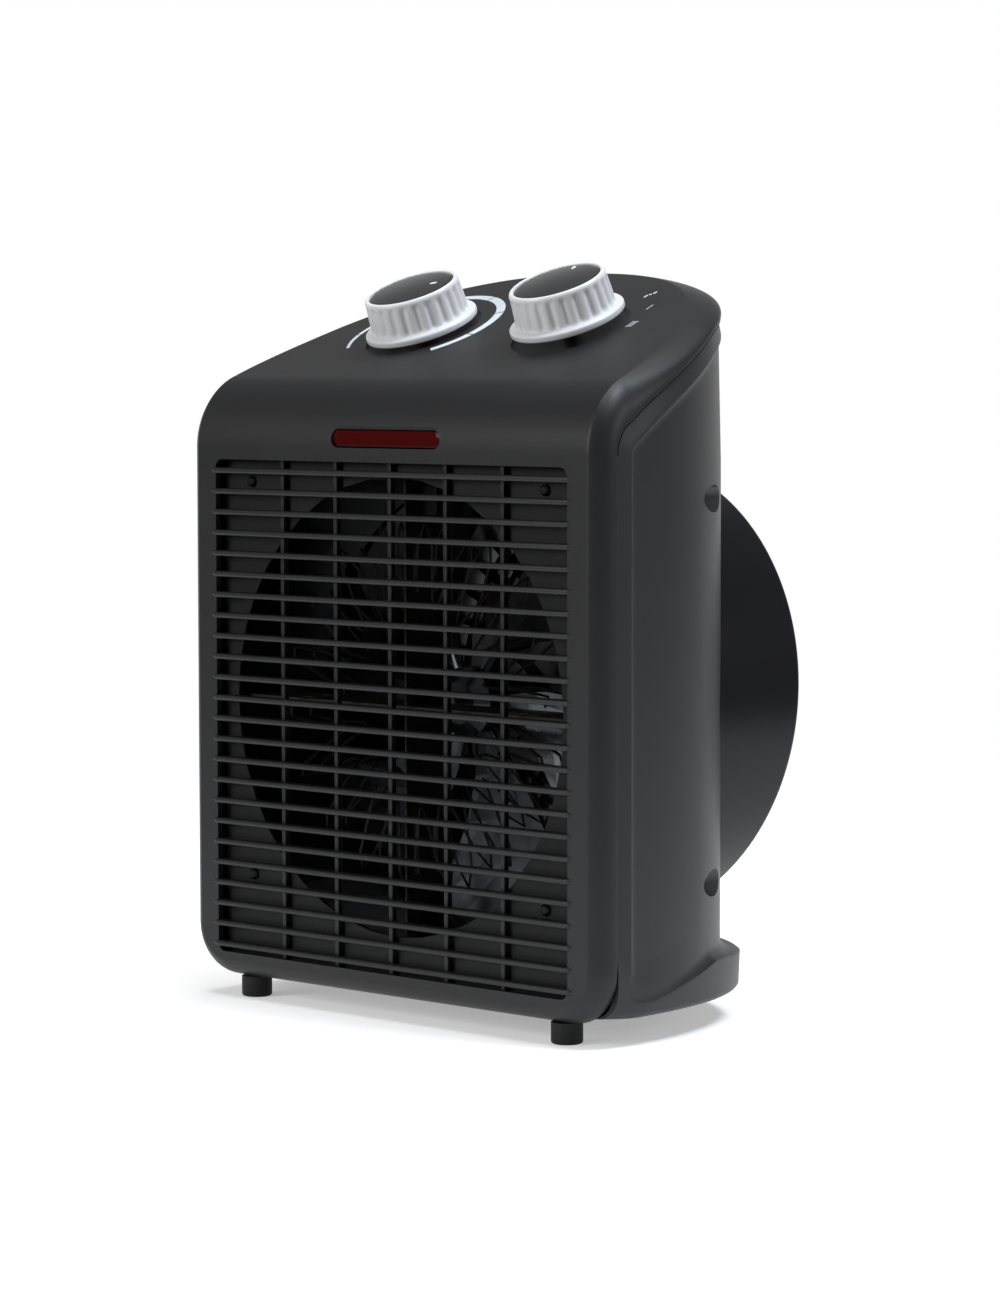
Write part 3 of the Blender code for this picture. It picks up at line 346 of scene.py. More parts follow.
def weld(mesh):
    """Joins the grids' shared edges, drops what has no area and turns the faces outwards."""
    bm = bmesh.new()
    bm.from_mesh(mesh)
    bmesh.ops.remove_doubles(bm, verts=bm.verts, dist=2e-6)
    bmesh.ops.dissolve_degenerate(bm, edges=bm.edges, dist=1e-7)
    bmesh.ops.recalc_face_normals(bm, faces=bm.faces)
    bm.to_mesh(mesh)
    bm.free()


class Skin:
    """Grids of points in millimetres, gathered into one mesh in metres."""

    def __init__(self):
        self.points = []
        self.faces = []
        self.count = 0

    def add(self, points, faces):
        """Takes in points, and quads given by their places among these points."""
        self.points.append(points.reshape(-1, 3))
        self.faces.append(faces + self.count)
        self.count += len(self.points[-1])

    def grid(self, points, wrap_rows=False, wrap_columns=False):
        """Quads between the neighbours of a (rows, columns, 3) array."""
        self.add(points, quads(*points.shape[:2], wrap_rows, wrap_columns))
        return self

    def build(self, name, material, slot, body="case", replaces=(), angle=40):
        """Makes the object, sharp where faces meet at more than the angle, hangs it on its body and hides the
        parts it replaces.
        """
        points = (np.concatenate(self.points) + (0, FACE_Y, 0)) * MM
        faces = np.concatenate(self.faces)
        mesh = bpy.data.meshes.new(name)
        mesh.vertices.add(len(points))
        mesh.vertices.foreach_set("co", points.ravel())
        mesh.loops.add(faces.size)
        mesh.loops.foreach_set("vertex_index", faces.ravel())
        mesh.polygons.add(len(faces))
        mesh.polygons.foreach_set("loop_start", np.arange(0, faces.size, 4))
        mesh.update(calc_edges=True)
        mesh.validate()
        weld(mesh)
        mesh.shade_smooth()
        mesh.set_sharp_from_angle(angle=math.radians(angle))
        mesh.materials.append(material)
        obj = bpy.data.objects.new(name, mesh)
        bpy.context.scene.collection.objects.link(obj)
        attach(obj, body)
        if replaces:
            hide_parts(*replaces)


def spread(*parts):
    """Numbers and arrays, broadcast to one shape and laid side by side on a last axis."""
    return np.stack(np.broadcast_arrays(*parts), -1).astype(float)


def upright(points):
    """The members of a list of tuples as upright arrays, ready to meet a row of angles."""
    return np.array(points, float).T[..., None]


def circle(steps):
    """Even angles all the way round."""
    return np.arange(steps) * 2 * math.pi / steps


def arc(radius, height, out, up, start, end, steps):
    """Profile points (radius + out cos t, height + up sin t), t between two angles."""
    turn = np.linspace(start, end, steps)
    return list(zip(radius + out * np.cos(turn), height + up * np.sin(turn)))


def smooth(share):
    """Smooth step s s (3 - 2 s) of a share held between 0 and 1."""
    share = np.clip(share, 0, 1)
    return share * share * (3 - 2 * share)


def panel_z(y):
    """Height of the flat panel at depth y."""
    return FACE_TOP + y * math.tan(SLOPE)


def shoulder_width(y):
    """Width of the shoulder at depth y: a smooth step from the face's narrow band to the lid's wide one."""
    return SHOULDER + SHOULDER_GAIN * smooth((y - SHOULDER_START) / SHOULDER_RUN)


def lid_seam(y):
    """How far the lid's seam runs under the panel's plane: from one depth to another as share ** 0.75."""
    share = np.clip((y - BEND_END) / SEAM_RUN, 0, 1)
    return SEAM_BEND + (SEAM_BACK - SEAM_BEND) * share ** 0.75


def plan(turn, offset=0.0):
    """Round back in plan, moved out along its normal: x and y on the curve, then the normal's x and y.

    Superellipse quarter: x = a cos(t) ** p and y = start + b sin(t) ** p.
    """
    cos_t = np.maximum(np.cos(turn), 1e-9)
    sin_t = np.maximum(np.sin(turn), 1e-9)
    out_x = cos_t ** (2 - PLAN_POWER) / HALF
    out_y = sin_t ** (2 - PLAN_POWER) / PLAN_REACH
    size = np.hypot(out_x, out_y)
    out_x, out_y = out_x / size, out_y / size
    x = HALF * cos_t ** PLAN_POWER + offset * out_x
    y = PLAN_START + PLAN_REACH * sin_t ** PLAN_POWER + offset * out_y
    return x, y, out_x, out_y


WALL_CURVE = plan(np.linspace(0, QUARTER, 2000))


def wall_depth(x):
    """Depth of the rear wall at that half width."""
    return np.interp(x, WALL_CURVE[0][::-1], WALL_CURVE[1][::-1])


def rim():
    """Right half of the front cover's crease, one row of numbers per point.

    A row holds the point, the outward direction, the direction down the wall, the shoulder's width and the
    seam's depth. The rows run over the corner's arc, the straight side, the bend's arc, the lid's side and
    the round back.
    """
    turn = np.linspace(0, QUARTER, CORNER_STEPS + 1)[:-1]
    x, z = CREASE - CORNER + CORNER * np.sin(turn), CORNER_Z - CORNER * np.cos(turn)
    corner = spread(x, 0, z, np.sin(turn), 0, -np.cos(turn), 0, 1, 0, SHOULDER, SEAM)

    z = np.linspace(CORNER_Z, BEND_Z, SIDE_STEPS + 1)[:-1]
    side = spread(CREASE, 0, z, 1, 0, 0, 0, 1, 0, SHOULDER, SEAM)

    turn = np.linspace(0, BEND_TURN, BEND_STEPS)
    y, z = BEND * (1 - np.cos(turn)), BEND_Z + BEND * np.sin(turn)
    lean = turn / BEND_TURN * QUARTER
    width = shoulder_width(y)
    seam = SEAM + (SEAM_BEND - SEAM) * (turn / BEND_TURN) ** 2
    bend = spread(HALF - width, y, z, 1, 0, 0, 0, np.cos(lean), -np.sin(lean), width, seam)

    y = np.linspace(BEND_END, PLAN_START, 5)[1:-1]
    width = shoulder_width(y)
    lid_side = spread(HALF - width, y, panel_z(y), 1, 0, 0, 0, 0, -1, width, lid_seam(y))

    turn = np.linspace(0, QUARTER, BACK_STEPS)
    width = shoulder_width(plan(turn)[1])
    x, y, out_x, out_y = plan(turn, -width)
    back = spread(x, y, panel_z(y), out_x, out_y, 0, 0, 0, -1, width, lid_seam(y + width * out_y))
    return np.concatenate([corner, side, bend, lid_side, back])


RIM = rim()


def rim_columns(rows):
    """Points, outward directions, wall directions, shoulder widths and seam depths of rim rows."""
    return rows[:, :3], rows[:, 3:6], rows[:, 6:9], rows[:, 9:10], rows[:, 10:]


def punch(points, faces, flat, shape):
    """Cuts a hole in a net: faces inside go, and the corners left inside move out to the hole's edge.

    shape(a, b) gives the distance to the edge, negative inside, and the nearest point of the edge. flat holds
    the two coordinates that the hole is drawn in. The moved points' x changes here, and flat with it. The
    faces that stay come back, and which points moved.
    """
    distance, edge_a, edge_b = shape(flat[:, 0], flat[:, 1])
    inside = distance < 0
    faces = faces[~inside[faces].all(axis=1)]
    used = np.zeros(len(flat), bool)
    used[faces.ravel()] = True
    moved = used & inside
    flat[moved, 0], flat[moved, 1] = edge_a[moved], edge_b[moved]
    points[moved, 0] = flat[moved, 0]
    return faces, moved


def round_hole(centre_a, centre_b, radius):
    """Circle for punch: distance from the centre less the radius."""
    def shape(a, b):
        da, db = a - centre_a, b - centre_b
        size = np.maximum(np.hypot(da, db), 1e-9)
        return size - radius, centre_a + da / size * radius, centre_b + db / size * radius
    return shape


def box_hole(half_a, low, high, radius):
    """Round-cornered rectangle about a = 0 for punch: distance from the inner box less the corner radius."""
    middle, half_b = (low + high) / 2, (high - low) / 2

    def shape(a, b):
        past_a = np.abs(a) - (half_a - radius)
        past_b = np.abs(b - middle) - (half_b - radius)
        out_a, out_b = np.maximum(past_a, 0), np.maximum(past_b, 0)
        size = np.hypot(out_a, out_b)
        distance = size + np.minimum(np.maximum(past_a, past_b), 0) - radius
        corner = (past_a > 0) & (past_b > 0)
        side = (past_a >= past_b) & ~corner
        scale = radius / np.maximum(size, 1e-9)
        sign_a, sign_b = np.sign(a), np.sign(b - middle)
        edge_a = np.where(side, sign_a * half_a, a)
        edge_a = np.where(corner, sign_a * (half_a - radius + out_a * scale), edge_a)
        edge_b = np.where(side, b, middle + sign_b * half_b)
        edge_b = np.where(corner, middle + sign_b * (half_b - radius + out_b * scale), edge_b)
        return distance, edge_a, edge_b
    return shape


def outline(half_a, low, high, radius, steps=10):
    """Points round a rectangle with round corners: a quarter arc about each corner's centre."""
    middle, half_b = (low + high) / 2, (high - low) / 2
    turn = np.radians(np.array((0, 90, 180, 270))[:, None] + np.linspace(0, 90, steps)).ravel()
    sign_a, sign_b = np.repeat((1, -1, -1, 1), steps), np.repeat((1, 1, -1, -1), steps)
    return np.stack([sign_a * (half_a - radius) + radius * np.cos(turn),
                     middle + sign_b * (half_b - radius) + radius * np.sin(turn)], -1)


def turned(profile, segments=96, ripple=None):
    """Profile of (radius, height) turned about z: x = r cos a, y = r sin a, where a ripple takes from r."""
    angle = circle(segments)
    radius, height = upright(profile)
    if ripple:
        radius = radius - ripple(radius, height, angle)
    return spread(radius * np.cos(angle), radius * np.sin(angle), height)


def on_panel(side, points):
    """From a control's own frame to the part's: turned by the panel's slope and moved to the shaft."""
    cos_s, sin_s = math.cos(SLOPE), math.sin(SLOPE)
    x, y, z = points[..., 0], points[..., 1], points[..., 2]
    depth = KNOB_Y + y * cos_s - z * sin_s
    height = panel_z(KNOB_Y) + y * sin_s + z * cos_s
    return np.stack([side * KNOB_X + x, depth, height], -1)


def front_cover():
    """Face, bend and panel as one net with holes, then the shoulder, the edges of the holes and the grille.

    A point of the net is u times the rim's half width across, u from -1 to 1. The shoulder starts at a fine
    crease and goes w (sin t - sin t0) / (1 - sin t0) out and d (1 - cos t / cos t0) down the wall, t from t0
    to 90 degrees, where w is its width and d its depth. A small round edge ends it at the seam.
    """
    skin = Skin()
    crease, out, wall, width, seam = rim_columns(RIM)
    even = np.linspace(-1, 1, 179)[1:-1]
    across = np.concatenate([[-1, -0.9975], even, [0.9975, 1]])
    points = spread(crease[:, :1] * across, crease[:, 1:2], crease[:, 2:])
    faces = quads(*points.shape[:2])
    points = points.reshape(-1, 3)
    # The opening and the window are drawn in x and z, the recesses in x and the distance along the slope
    face_flat = points[:, [0, 2]].copy()
    for shape in (OPENING, LENS_SLOT):
        faces, moved = punch(points, faces, face_flat, box_hole(*shape))
        points[moved, 2] = face_flat[moved, 1]
    slope_flat = np.stack([points[:, 0], points[:, 1] / math.cos(SLOPE)], -1)
    for side in (-1, 1):
        recess = round_hole(side * KNOB_X, KNOB_Y / math.cos(SLOPE), RECESS)
        faces, moved = punch(points, faces, slope_flat, recess)
        points[moved, 1] = slope_flat[moved, 1] * math.cos(SLOPE)
        points[moved, 2] = panel_z(points[moved, 1])
    skin.add(points, faces)

    turn = np.linspace(CREASE_TURN, QUARTER, 14)
    outward = width * (np.sin(turn) - math.sin(CREASE_TURN)) / (1 - math.sin(CREASE_TURN))
    down = (seam - 0.6) * (1 - np.cos(turn) / math.cos(CREASE_TURN))
    # The round edge: how far each point lies inside the wall's outer face and short of the seam
    inside, short = np.array([(0.02, 0.35), (0.14, 0.12), (0.4, 0), (WALL, 0)]).T
    outward = np.hstack([outward, width - inside])[..., None]
    down = np.hstack([down, seam - short])[..., None]
    bands = crease[:, None] + outward * out[:, None] + down * wall[:, None]
    skin.grid(np.concatenate([bands[::-1] * (-1, 1, 1), bands]))

    for shape, depth in ((OPENING, WALL), (LENS_SLOT, SLOT_DEPTH)):
        ring = outline(*shape)
        above = np.maximum(ring[:, 1] - BEND_Z, 0)
        surface = BEND - np.sqrt(BEND ** 2 - above ** 2)
        inward = np.array((0, depth * 0.5, depth))[:, None]
        skin.grid(spread(ring[:, 0], surface + inward, ring[:, 1]), wrap_columns=True)
    recess = [(RECESS, 0), (RECESS - 0.15, -0.5), (RECESS - 0.5, -0.9), (RECESS - 1.0, -1.0),
              (SHAFT_HOLE, -1.0), (SHAFT_HOLE, -3.2)]
    for side in (-1, 1):
        skin.grid(on_panel(side, turned(recess)), wrap_columns=True)
    grille(skin)
    return skin


def grille(skin):
    """Slats with round noses along x, whose ends sink and thin out in the face, and square ribs behind them.

    From the opening's side on, a slat sinks by 1.15 f and keeps 1 - 0.35 f of its height, where f is a
    smooth step of x.
    """
    turn = np.linspace(-QUARTER, QUARTER, 11)
    nose = np.concatenate([[(3.0, -SLAT_HALF), (0.6, -SLAT_HALF)],
                           np.stack([-0.25 - 0.75 * np.cos(turn), SLAT_HALF * np.sin(turn)], -1),
                           [(0.6, SLAT_HALF), (3.0, SLAT_HALF)]])
    root, tip = OPENING[0] - 0.5, OPENING[0] + 3.2
    end = np.linspace(root, tip, 9)
    x = np.concatenate([-end[::-1], np.linspace(-root, root, 5)[1:-1], end])
    fade = smooth((np.abs(x) - root) / (tip - root))[:, None]
    y = nose[:, 0] + np.where(nose[:, 0] < 1, SLAT_SINK * fade, 0)
    z = nose[:, 1] * (1 - 0.35 * fade)
    top = OPENING[2] - SLAT_PITCH / 2 - 0.3
    for n in range(SLATS):
        skin.grid(spread(x[:, None], y, top - n * SLAT_PITCH + z), wrap_columns=True)
    ring = outline(RIB_HALF, *RIB_DEPTH, 0.25, 4)
    ends = np.array((OPENING[1] - 1.5, OPENING[2] + 1.5))[:, None]
    for n in range(RIBS):
        middle = (n - (RIBS - 1) / 2) * RIB_PITCH
        skin.grid(spread(ring[:, 0] + middle, ring[:, 1], ends), wrap_columns=True)


def base_profile(y):
    """Rear cover's foot at depths y: how far out and how high each point is, from its lower rim to the wall.

    It stands out by a small step behind the seam and a flare of share ** 2.2 further back. Its side leans in
    by a half sine below its top line. A quarter arc rounds its lower edge, with the front cover's corner near
    the seam, and an arc and a fillet lead over its shelf to the wall.
    """
    share = np.clip((y - SEAM) / SHELF_RUN, 0, 1)
    flare = FLARE * np.clip((y - PLAN_START) / FLARE_RUN, 0, 1) ** 2.2
    reach = FLARE_STEP * np.minimum(1, share * 4) + flare
    lean = LEAN * np.sin(math.pi * np.clip((y - SEAM) / LEAN_RUN, 0, 1)) ** 0.7
    corner = LOW_EDGE + LOW_EDGE_GAIN * np.maximum(0, 1 - (y - SEAM) / LOW_EDGE_RUN) ** 2
    shelf = REAR_BOTTOM + np.maximum(SHELF + SHELF_CLIMB * share ** 1.3, corner + SHELF)
    fillet = np.minimum(FILLET, reach)
    turn = np.linspace(0, QUARTER, 9)
    later = turn[1:]
    outward = np.hstack([reach - lean - corner * (1 - np.sin(turn)),
                         fillet + (reach - fillet) * np.cos(later),
                         fillet * (1 - np.sin(later))])
    height = np.hstack([REAR_BOTTOM + corner * (1 - np.cos(turn)),
                        shelf - 1.0 + np.sin(later),
                        shelf + FILLET * (1 - np.cos(later))])
    return outward, height


def bead(away):
    """How far the wall stands out at a distance from the seam: a rim that swells to a crest, then a drop."""
    profile = [(0, -1.3), (2.0, -0.84), (4.0, -0.36), (5.9, 0), (6.3, -0.06), (6.6, -0.2), (6.9, -0.44),
               (7.4, -0.66), (8.2, -0.76), (9.4, -0.78), (20, -0.55), (45, 0)]
    return np.interp(away, *zip(*profile))


def rear_columns():
    """Columns of the rear wall's right half, from the foot's lower rim up to the seam.

    A column is the foot's profile, an even climb and rows that lie close where the bead turns. The bead moves
    the wall by its profile over the distance from the seam, and fades out in the first 9 mm over the foot.
    """
    crease, out, wall, width, seam = rim_columns(RIM[CORNER_STEPS + SIDE_STEPS:])
    edge = crease + width * out + (seam + GAP) * wall
    flat = out / np.linalg.norm(out, axis=1, keepdims=True)
    foot_out, foot_height = base_profile(edge[:, 1:2])
    top, low = edge[:, 2:], foot_height[:, -1:]
    climb = low + (top - 11.0 - low) * np.linspace(0, 1, 140)[1:]
    close = np.array((9.4, 8.2, 7.4, 6.9, 6.6, 6.3, 5.9, 5.2, 4.0, 2.4, 1.2, 0.4, 0.1, 0, 0))
    height = np.hstack([foot_height, climb, top - close])
    # The last three points are the seam's edge, rounded and turned in by the wall's thickness
    outward = np.zeros_like(height)
    outward[:, :foot_out.shape[1]] = foot_out
    outward[:, -3:] = (-0.1, -0.35, -WALL)
    columns = edge[:, None] * (1, 1, 0) + flat[:, None] * outward[..., None]
    columns[..., 2] = height
    start = foot_out.shape[1] - 1
    seam_line = np.concatenate([columns[:, -4], columns[0, start:-3]])
    for column, direction in zip(columns[:, start:-3], flat):
        away = np.linalg.norm(column[:, None] - seam_line, axis=2).min(axis=1)
        calm = np.clip((column[:, 2] - column[0, 2]) / 9.0, 0, 1)
        column += direction * (bead(away) * calm)[:, None]
    return columns


def rear_cover():
    """Round-backed shell: wall columns over the foot, punched for the drum, the inlet and the screw wells."""
    skin = Skin()
    columns = rear_columns()
    sides = [columns, columns * (-1, 1, 1)]
    for side in sides:
        faces = quads(*side.shape[:2])
        points = side.reshape(-1, 3).copy()
        flat = points[:, [0, 2]].copy()
        for centre_x, centre_z, radius in [(0.0, AXIS_Z, DRUM - 0.6), INLET, *WELLS]:
            faces, moved = punch(points, faces, flat, round_hole(centre_x, centre_z, radius))
            points[moved, 2] = flat[moved, 1]
            points[moved, 1] = wall_depth(np.abs(points[moved, 0]))
        skin.add(points, faces)
    # Floor from side to side, then the front edges of both walls
    share = np.linspace(0, 1, 9)[:, None, None]
    skin.grid(sides[0][:, 0] * (1 - share) + sides[1][:, 0] * share)
    front = columns[0]
    for sign in (1, -1):
        skin.grid(np.stack([front, front - (WALL, 0, 0)]) * (sign, 1, 1))
    angle = circle(48)
    for centre_x, centre_z, radius in WELLS:
        x, z = centre_x + radius * np.cos(angle), centre_z + radius * np.sin(angle)
        mouth = np.minimum(wall_depth(np.abs(x)), WELL_MOUTH)
        share = np.array((0, 0.5, 1))[:, None]
        tube = spread(x, mouth * (1 - share) + WELL_FLOOR * share, z)
        floor_middle = spread(centre_x + 0 * x, WELL_FLOOR, centre_z)
        skin.grid(np.concatenate([tube, floor_middle[None]]), wrap_columns=True)
    return skin


def raked(points):
    """Drum points (x, z, distance behind the middle of the rear end) onto the raked plane of that end."""
    cos_r, sin_r = math.cos(RAKE), math.sin(RAKE)
    x, up, back = points[..., 0], points[..., 1], points[..., 2]
    return np.stack([x, DRUM_REAR + up * sin_r + back * cos_r, AXIS_Z + up * cos_r - back * sin_r], -1)


def drum():
    """Tube with a raked, rounded end, then the finger guard: hub, rings and spokes on the raked plane.

    A profile point is a radius, a share of the way to the end's plane and a distance behind that plane. The
    end's plane goes back by z tan(rake).
    """
    skin = Skin()
    angle = circle(DRUM_STEPS)
    inner = DRUM - DRUM_WALL
    profile = [(DRUM, 0.0, 0.0), (DRUM, 0.5, 0.0), (DRUM, 1.0, -2.0)]
    rounding = arc(DRUM - DRUM_ROUND, -DRUM_ROUND, DRUM_ROUND, DRUM_ROUND, 0.2, QUARTER, 7)
    profile += [(radius, 1.0, back) for radius, back in rounding]
    profile += [(inner, 1.0, 0.0), (inner, 1.0, -2.0), (inner, 0.5, 0.0), (inner, 0.0, 0.0)]
    radius, share, back = upright(profile)
    x, z = radius * np.cos(angle), radius * np.sin(angle)
    y = DRUM_START + share * (DRUM_REAR - DRUM_START + z * math.tan(RAKE)) + back
    skin.grid(spread(x, y, AXIS_Z + z), wrap_rows=True, wrap_columns=True)

    gap = (inner - GUARD_HUB) / (GUARD_RINGS + 1)
    section = outline(GUARD_BAR / 2, -GUARD_DEPTH, 0, 0.7, 5)
    beside, behind = upright(section)
    for n in range(1, GUARD_RINGS + 1):
        radius = GUARD_HUB + n * gap + beside
        ring = spread(radius * np.cos(angle), radius * np.sin(angle), behind)
        skin.grid(raked(ring), wrap_rows=True, wrap_columns=True)
    # Every sixth spoke starts at the hub, the others start at the fourth or the seventh ring
    for n in range(GUARD_SPOKES):
        turn = QUARTER + 2 * math.pi * n / GUARD_SPOKES
        start = GUARD_HUB - 1 if n % 6 == 0 else GUARD_HUB + gap * (4 if n % 2 == 0 else 7)
        along = np.array((start, inner + 0.5))[:, None]
        across = section[:, 0]
        spoke = spread(along * math.cos(turn) - across * math.sin(turn),
                       along * math.sin(turn) + across * math.cos(turn), section[:, 1])
        skin.grid(raked(spoke), wrap_columns=True)
    hub = [(0.01, 0), (GUARD_HUB - 0.8, 0), (GUARD_HUB - 0.2, -0.25), (GUARD_HUB, -0.8),
           (GUARD_HUB, -GUARD_DEPTH), (0.01, -GUARD_DEPTH)]
    skin.grid(raked(turned(hub)), wrap_columns=True)
    return skin


def knob(side, lift):
    """Turned grip on a flange, with a collar for the shaft inside and a seat for the cap.

    A flute takes depth (0.5 + 0.5 cos 24 a) ** 1.6 from the grip's radius and fades out at both ends.
    """
    top = lift + KNOB_RISE

    def flute(radius, height, angle):
        level = height - lift
        fade = np.clip((level - 2.6) / 0.8, 0, 1) * np.clip((12.6 - level) / 1.2, 0, 1)
        return (radius >= 16.0) * fade * FLUTE_DEPTH * (0.5 + 0.5 * np.cos(FLUTES * angle)) ** 1.6

    profile = [(HOLLOW, lift + 9.3), (HOLLOW, lift), (FLANGE - 0.4, lift)]
    profile += arc(FLANGE - 0.5, lift + 0.5, 0.5, 0.5, -QUARTER, 0, 4)[1:]
    profile += arc(FLANGE - 0.7, lift + 1.5, 0.7, 0.8, 0, QUARTER, 6)
    profile += [(GRIP + 0.3, lift + 2.6)]
    profile += [(GRIP - 0.6 * share, lift + 2.9 + 9.4 * share) for share in np.linspace(0, 1, 12)]
    profile += arc(GRIP - 1.6, top - 1.5, 1.0, 1.5, 0.15, QUARTER, 8)
    profile += [(15.2, top - 0.05), (14.95, top - 0.3), (14.9, top - 1.5)]
    profile += [(BORE, top - 1.5), (BORE, lift + 4.3), (COLLAR, lift + 4.3), (COLLAR, lift + 9.3)]
    return Skin().grid(on_panel(side, turned(profile, 288, flute)), wrap_rows=True, wrap_columns=True)


def cap_height(lift, radius):
    """Height of the cap's dome: crown (1 - (r / R) ** 2)."""
    return lift + KNOB_RISE - 0.35 + CROWN * (1 - (radius / CAP) ** 2)


def cap(side, lift):
    """Shallow dome let into the grip."""
    top = lift + KNOB_RISE
    profile = [(0.01, top - 1.2), (CAP, top - 1.2), (CAP, top - 0.45)]
    profile += [(radius, cap_height(lift, radius)) for radius in np.linspace(CAP - 0.2, 0.01, 14)]
    return Skin().grid(on_panel(side, turned(profile)), wrap_columns=True)


def patch(side, points, low, high):
    """Flat raised mark: an outline carried from one height to another and closed towards its middle."""
    centre = points.mean(0)
    scale, height = upright([(1, low), (1, high), (0.001, high)])
    flat = centre + (points - centre) * scale[..., None]
    return on_panel(side, spread(flat[..., 0], flat[..., 1], height))


def strip(side, start, end, first, last):
    """Arc of the scale between two angles in degrees, whose width runs from a first to a last value."""
    angle = np.radians(np.linspace(start, end, 24))
    half = np.linspace(first, last, 24) / 2
    edge, height = upright([(-1, 0), (-1, PRINT_RISE), (1, PRINT_RISE), (1, 0)])
    radius = SCALE_RADIUS + edge * half
    x, y = SCALE_CENTRE[0] + radius * np.cos(angle), SCALE_CENTRE[1] + radius * np.sin(angle)
    return on_panel(side, spread(x, y, height))


def bar(x, y, length, width, turn):
    """Corners of a straight mark about its middle, its length turned from x."""
    along = np.array((math.cos(turn), math.sin(turn))) * length / 2
    side = np.array((-math.sin(turn), math.cos(turn))) * width / 2
    return np.array((x, y)) + [-along - side, along - side, along + side, side - along]


def ellipse(x, y, a, b, turn):
    """Points a cos t along and b sin t across about a middle, the whole turned from x."""
    angle = circle(24)
    along, across = a * np.cos(angle), b * np.sin(angle)
    return np.stack([x + along * math.cos(turn) - across * math.sin(turn),
                     y + along * math.sin(turn) + across * math.cos(turn)], -1)


def print_marks():
    """Tapered scale round the thermostat in seven segments, and the selector's fan, I and II."""
    skin = Skin()
    stops = (220, 192, 152, 111, 71, 29, -11.5, -43.4)
    widths = (1.2, 1.5, 2.0, 2.6, 3.2, 3.2, 3.0, 2.7)
    for n in range(7):
        skin.grid(strip(-1, stops[n] - 0.6, stops[n + 1] + 0.6, widths[n], widths[n + 1]))
    first_x, second_x, two_y = TWO_SIGN
    uprights = (ONE_SIGN, (first_x, two_y), (second_x, two_y))
    marks = [bar(x, y, 4.0, 0.38, math.radians(92)) for x, y in uprights]
    marks += [bar(x, two_y + end, 1.1, 0.3, 0.0) for x in (first_x, second_x) for end in (-2.0, 2.0)]
    fan_x, fan_y = FAN_SIGN
    for turn in (math.radians(60), math.radians(240)):
        x, y = fan_x + 1.7 * math.cos(turn), fan_y + 1.7 * math.sin(turn)
        marks.append(ellipse(x, y, 1.1, 0.5, turn + 0.5))
    marks.append(ellipse(fan_x, fan_y, 0.55, 0.55, 0.0))
    for mark in marks:
        skin.grid(patch(1, mark, 0.0, PRINT_RISE), wrap_columns=True)
    return skin


def pointer(side, lift, angle, radius):
    """Small raised dash on the cap, at an angle in degrees and a distance from the shaft."""
    turn = math.radians(angle)
    height = cap_height(lift, radius)
    mark = ellipse(radius * math.cos(turn), radius * math.sin(turn), 1.3, 0.6, turn)
    return Skin().grid(patch(side, mark, height - 0.05, height + 0.12), wrap_columns=True)


def lens():
    """Red window with round ends, a little behind the face, with a shallow round edge."""
    rows = []
    for shrink, depth in ((0, 4.4), (0, 1.2), (0.12, 0.95), (0.4, 0.85), (2.79, 0.8)):
        rise = LENS_RISE - shrink
        ring = outline(LENS_HALF - shrink, LENS_Z - rise, LENS_Z + rise, max(rise - 0.005, 0.004))
        rows.append(spread(ring[:, 0], depth, ring[:, 1]))
    return Skin().grid(np.stack(rows), wrap_columns=True)


def foot(x, y, top):
    """Round peg with a small round edge on its lower face."""
    profile = [(0.01, 0), (4.2, 0), (4.75, 0.15), (5.1, 0.5), (5.2, 1.0), (5.2, top), (0.01, top)]
    return Skin().grid(turned(profile, 48) + (x, y, 0), wrap_columns=True)


def floor():
    """Pale ground that keeps the soft shadow and thins out with distance, down to the white backdrop."""
    half = 3.0
    corners = [(-half, -half, 0), (half, -half, 0), (half, half, 0), (-half, half, 0)]
    mesh = bpy.data.meshes.new("floor")
    mesh.from_pydata(corners, [], [(0, 1, 2, 3)])
    obj = bpy.data.objects.new("floor", mesh)
    bpy.context.scene.collection.objects.link(obj)
    material, net = new_material("floor", Base_Color=(0.86, 0.86, 0.86), Roughness=0.9,
                                 Specular_IOR_Level=0.0, Emission_Strength=0.36)
    net.vary("Emission Color", net.rays("Camera", "Glossy", "Transmission") * 0.7 + 0.3)
    away = net.node("ShaderNodeVectorMath", "Value", {"operation": "LENGTH"}, {0: net.where()})
    net.vary("Alpha", net.fade(away, 0.3, 0.9, 1.0, 0.0))
    mesh.materials.append(material)


def area(name, location, target, size, power, colour=(1, 1, 1)):
    """Square lamp turned to a target."""
    light = bpy.data.lights.new(name, "AREA")
    light.shape = "RECTANGLE"
    light.size = light.size_y = size
    light.energy = power
    light.color = colour
    obj = bpy.data.objects.new(name, light)
    bpy.context.scene.collection.objects.link(obj)
    obj.location = location
    obj.rotation_euler = (Vector(target) - Vector(location)).to_track_quat("-Z", "Y").to_euler()


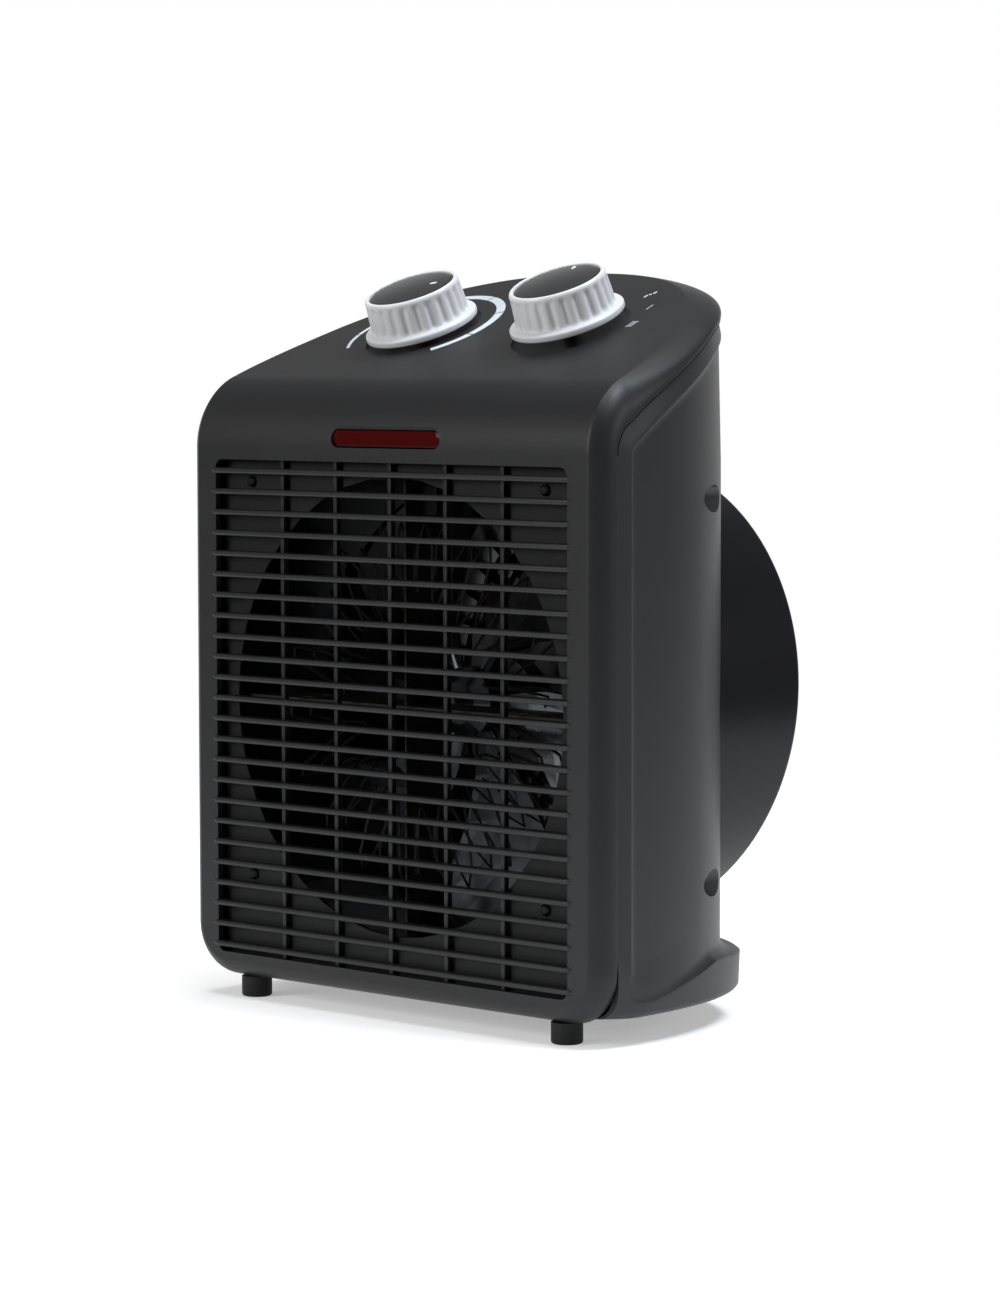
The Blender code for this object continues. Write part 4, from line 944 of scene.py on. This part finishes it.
def world(room_level):
    """White for the camera. Other rays find a white backdrop behind the object and a dim room elsewhere.

    The backdrop fades in over the cosine to its direction and out over the height. Mirrored and refracted
    rays meet all of it, scattered ones 0.3 of it.
    """
    scene = bpy.context.scene
    scene.world = bpy.data.worlds.new("studio")
    scene.world.use_nodes = True
    net = Net(scene.world.node_tree)
    net.tree.nodes.clear()
    direction = net.node("ShaderNodeTexCoord", "Generated")
    behind = net.node("ShaderNodeVectorMath", "Value", {"operation": "DOT_PRODUCT"},
                      {0: direction, 1: (-0.69, 0.72, 0.0)})
    height = net.node("ShaderNodeSeparateXYZ", "Z", inputs={"Vector": direction})
    backdrop = net.fade(behind, 0.2, 0.9, 0.0, 1.0) * net.fade(height, 0.15, 0.6, 1.0, 0.0)
    share = net.rays("Camera") + backdrop * (net.rays("Glossy", "Transmission") * 0.7 + 0.3)
    room, white = (net.node("ShaderNodeBackground", "Background",
                            inputs={"Color": (1, 1, 1, 1), "Strength": level})
                   for level in (room_level, 1.0))
    mix = net.node("ShaderNodeMixShader", "Shader", inputs={0: share, 1: room, 2: white})
    out = net.tree.nodes.new("ShaderNodeOutputWorld")
    net.feed(out.inputs["Surface"], mix)


def camera():
    """The photograph's view: looks along its yaw and pitch, with the level and upright turned by its roll."""
    yaw, pitch, roll = (math.radians(angle) for angle in CAMERA_TURNS)
    level = Vector((math.cos(yaw), math.sin(yaw), 0))
    forward = Vector((-math.sin(yaw) * math.cos(pitch), math.cos(yaw) * math.cos(pitch), -math.sin(pitch)))
    steep = level.cross(forward)
    right = level * math.cos(roll) + steep * math.sin(roll)
    up = steep * math.cos(roll) - level * math.sin(roll)
    data = bpy.data.cameras.new("camera")
    data.sensor_width = 36
    data.lens = CAMERA_LENS
    obj = bpy.data.objects.new("camera", data)
    bpy.context.scene.collection.objects.link(obj)
    rotation = Matrix((right, up, -forward)).transposed().to_4x4()
    obj.matrix_world = Matrix.Translation(CAMERA_PLACE) @ rotation
    bpy.context.scene.camera = obj


dress_nodes()
front_cover().build("front_cover_skin", FRONT_PLASTIC, "front_plastic", replaces=["front_cover"], angle=38)
rear_cover().build("rear_cover_skin", REAR_PLASTIC, "rear_plastic", replaces=["rear_cover"], angle=38)
drum().build("drum_skin", DRUM_PLASTIC, "drum_plastic", replaces=["intake_drum"], angle=38)
lens().build("lens_skin", LENS_RED, "red_lens", replaces=["indicator_lens"])
print_marks().build("panel_print", PALE_PRINT, "knob_plastic")
for prefix, side, lift, mark in (("thermostat", -1, 1.5, (25, 8.4)), ("selector", 1, 3.2, (100, 11.5))):
    body = f"{prefix}_control"
    ring, disc = knob(side, lift), cap(side, lift)
    ring.build(f"{prefix}_knob_skin", KNOB_PLASTIC, "knob_plastic", body, [f"{prefix}_knob"], 50)
    disc.build(f"{prefix}_cap_skin", CAP_PLASTIC, "cap_plastic", body, [f"{prefix}_knob_cap"])
    pointer(side, lift, *mark).build(f"{prefix}_pointer", WHITE_MARK, "knob_plastic", body)
for name, x, y, top in (("front_foot_left", -73, 9.5, 7.0), ("front_foot_right", 73, 9.5, 7.0),
                        ("rear_foot_left", -36, 92, 9.0), ("rear_foot_right", 36, 92, 9.0)):
    foot(x, y, top).build(f"{name}_skin", FOOT_RUBBER, "foot_rubber", replaces=[name])

floor()
world(0.16)
area("overhead", (0.05, 0.0, 1.9), (0, 0, 0.1), 1.3, 24, (0.97, 0.98, 1))
area("front left", (-0.7, -2.0, 0.9), (0, 0, 0.12), 1.0, 25)
area("upper right", (0.85, 0.22, 1.7), (0.1, 0, 0.2), 0.45, 20, (0.8, 0.88, 1))
area("right rear", (1.9, 0.95, 0.85), (0, 0, 0.15), 0.6, 8)
camera()
bpy.context.scene.view_settings.view_transform = "Standard"
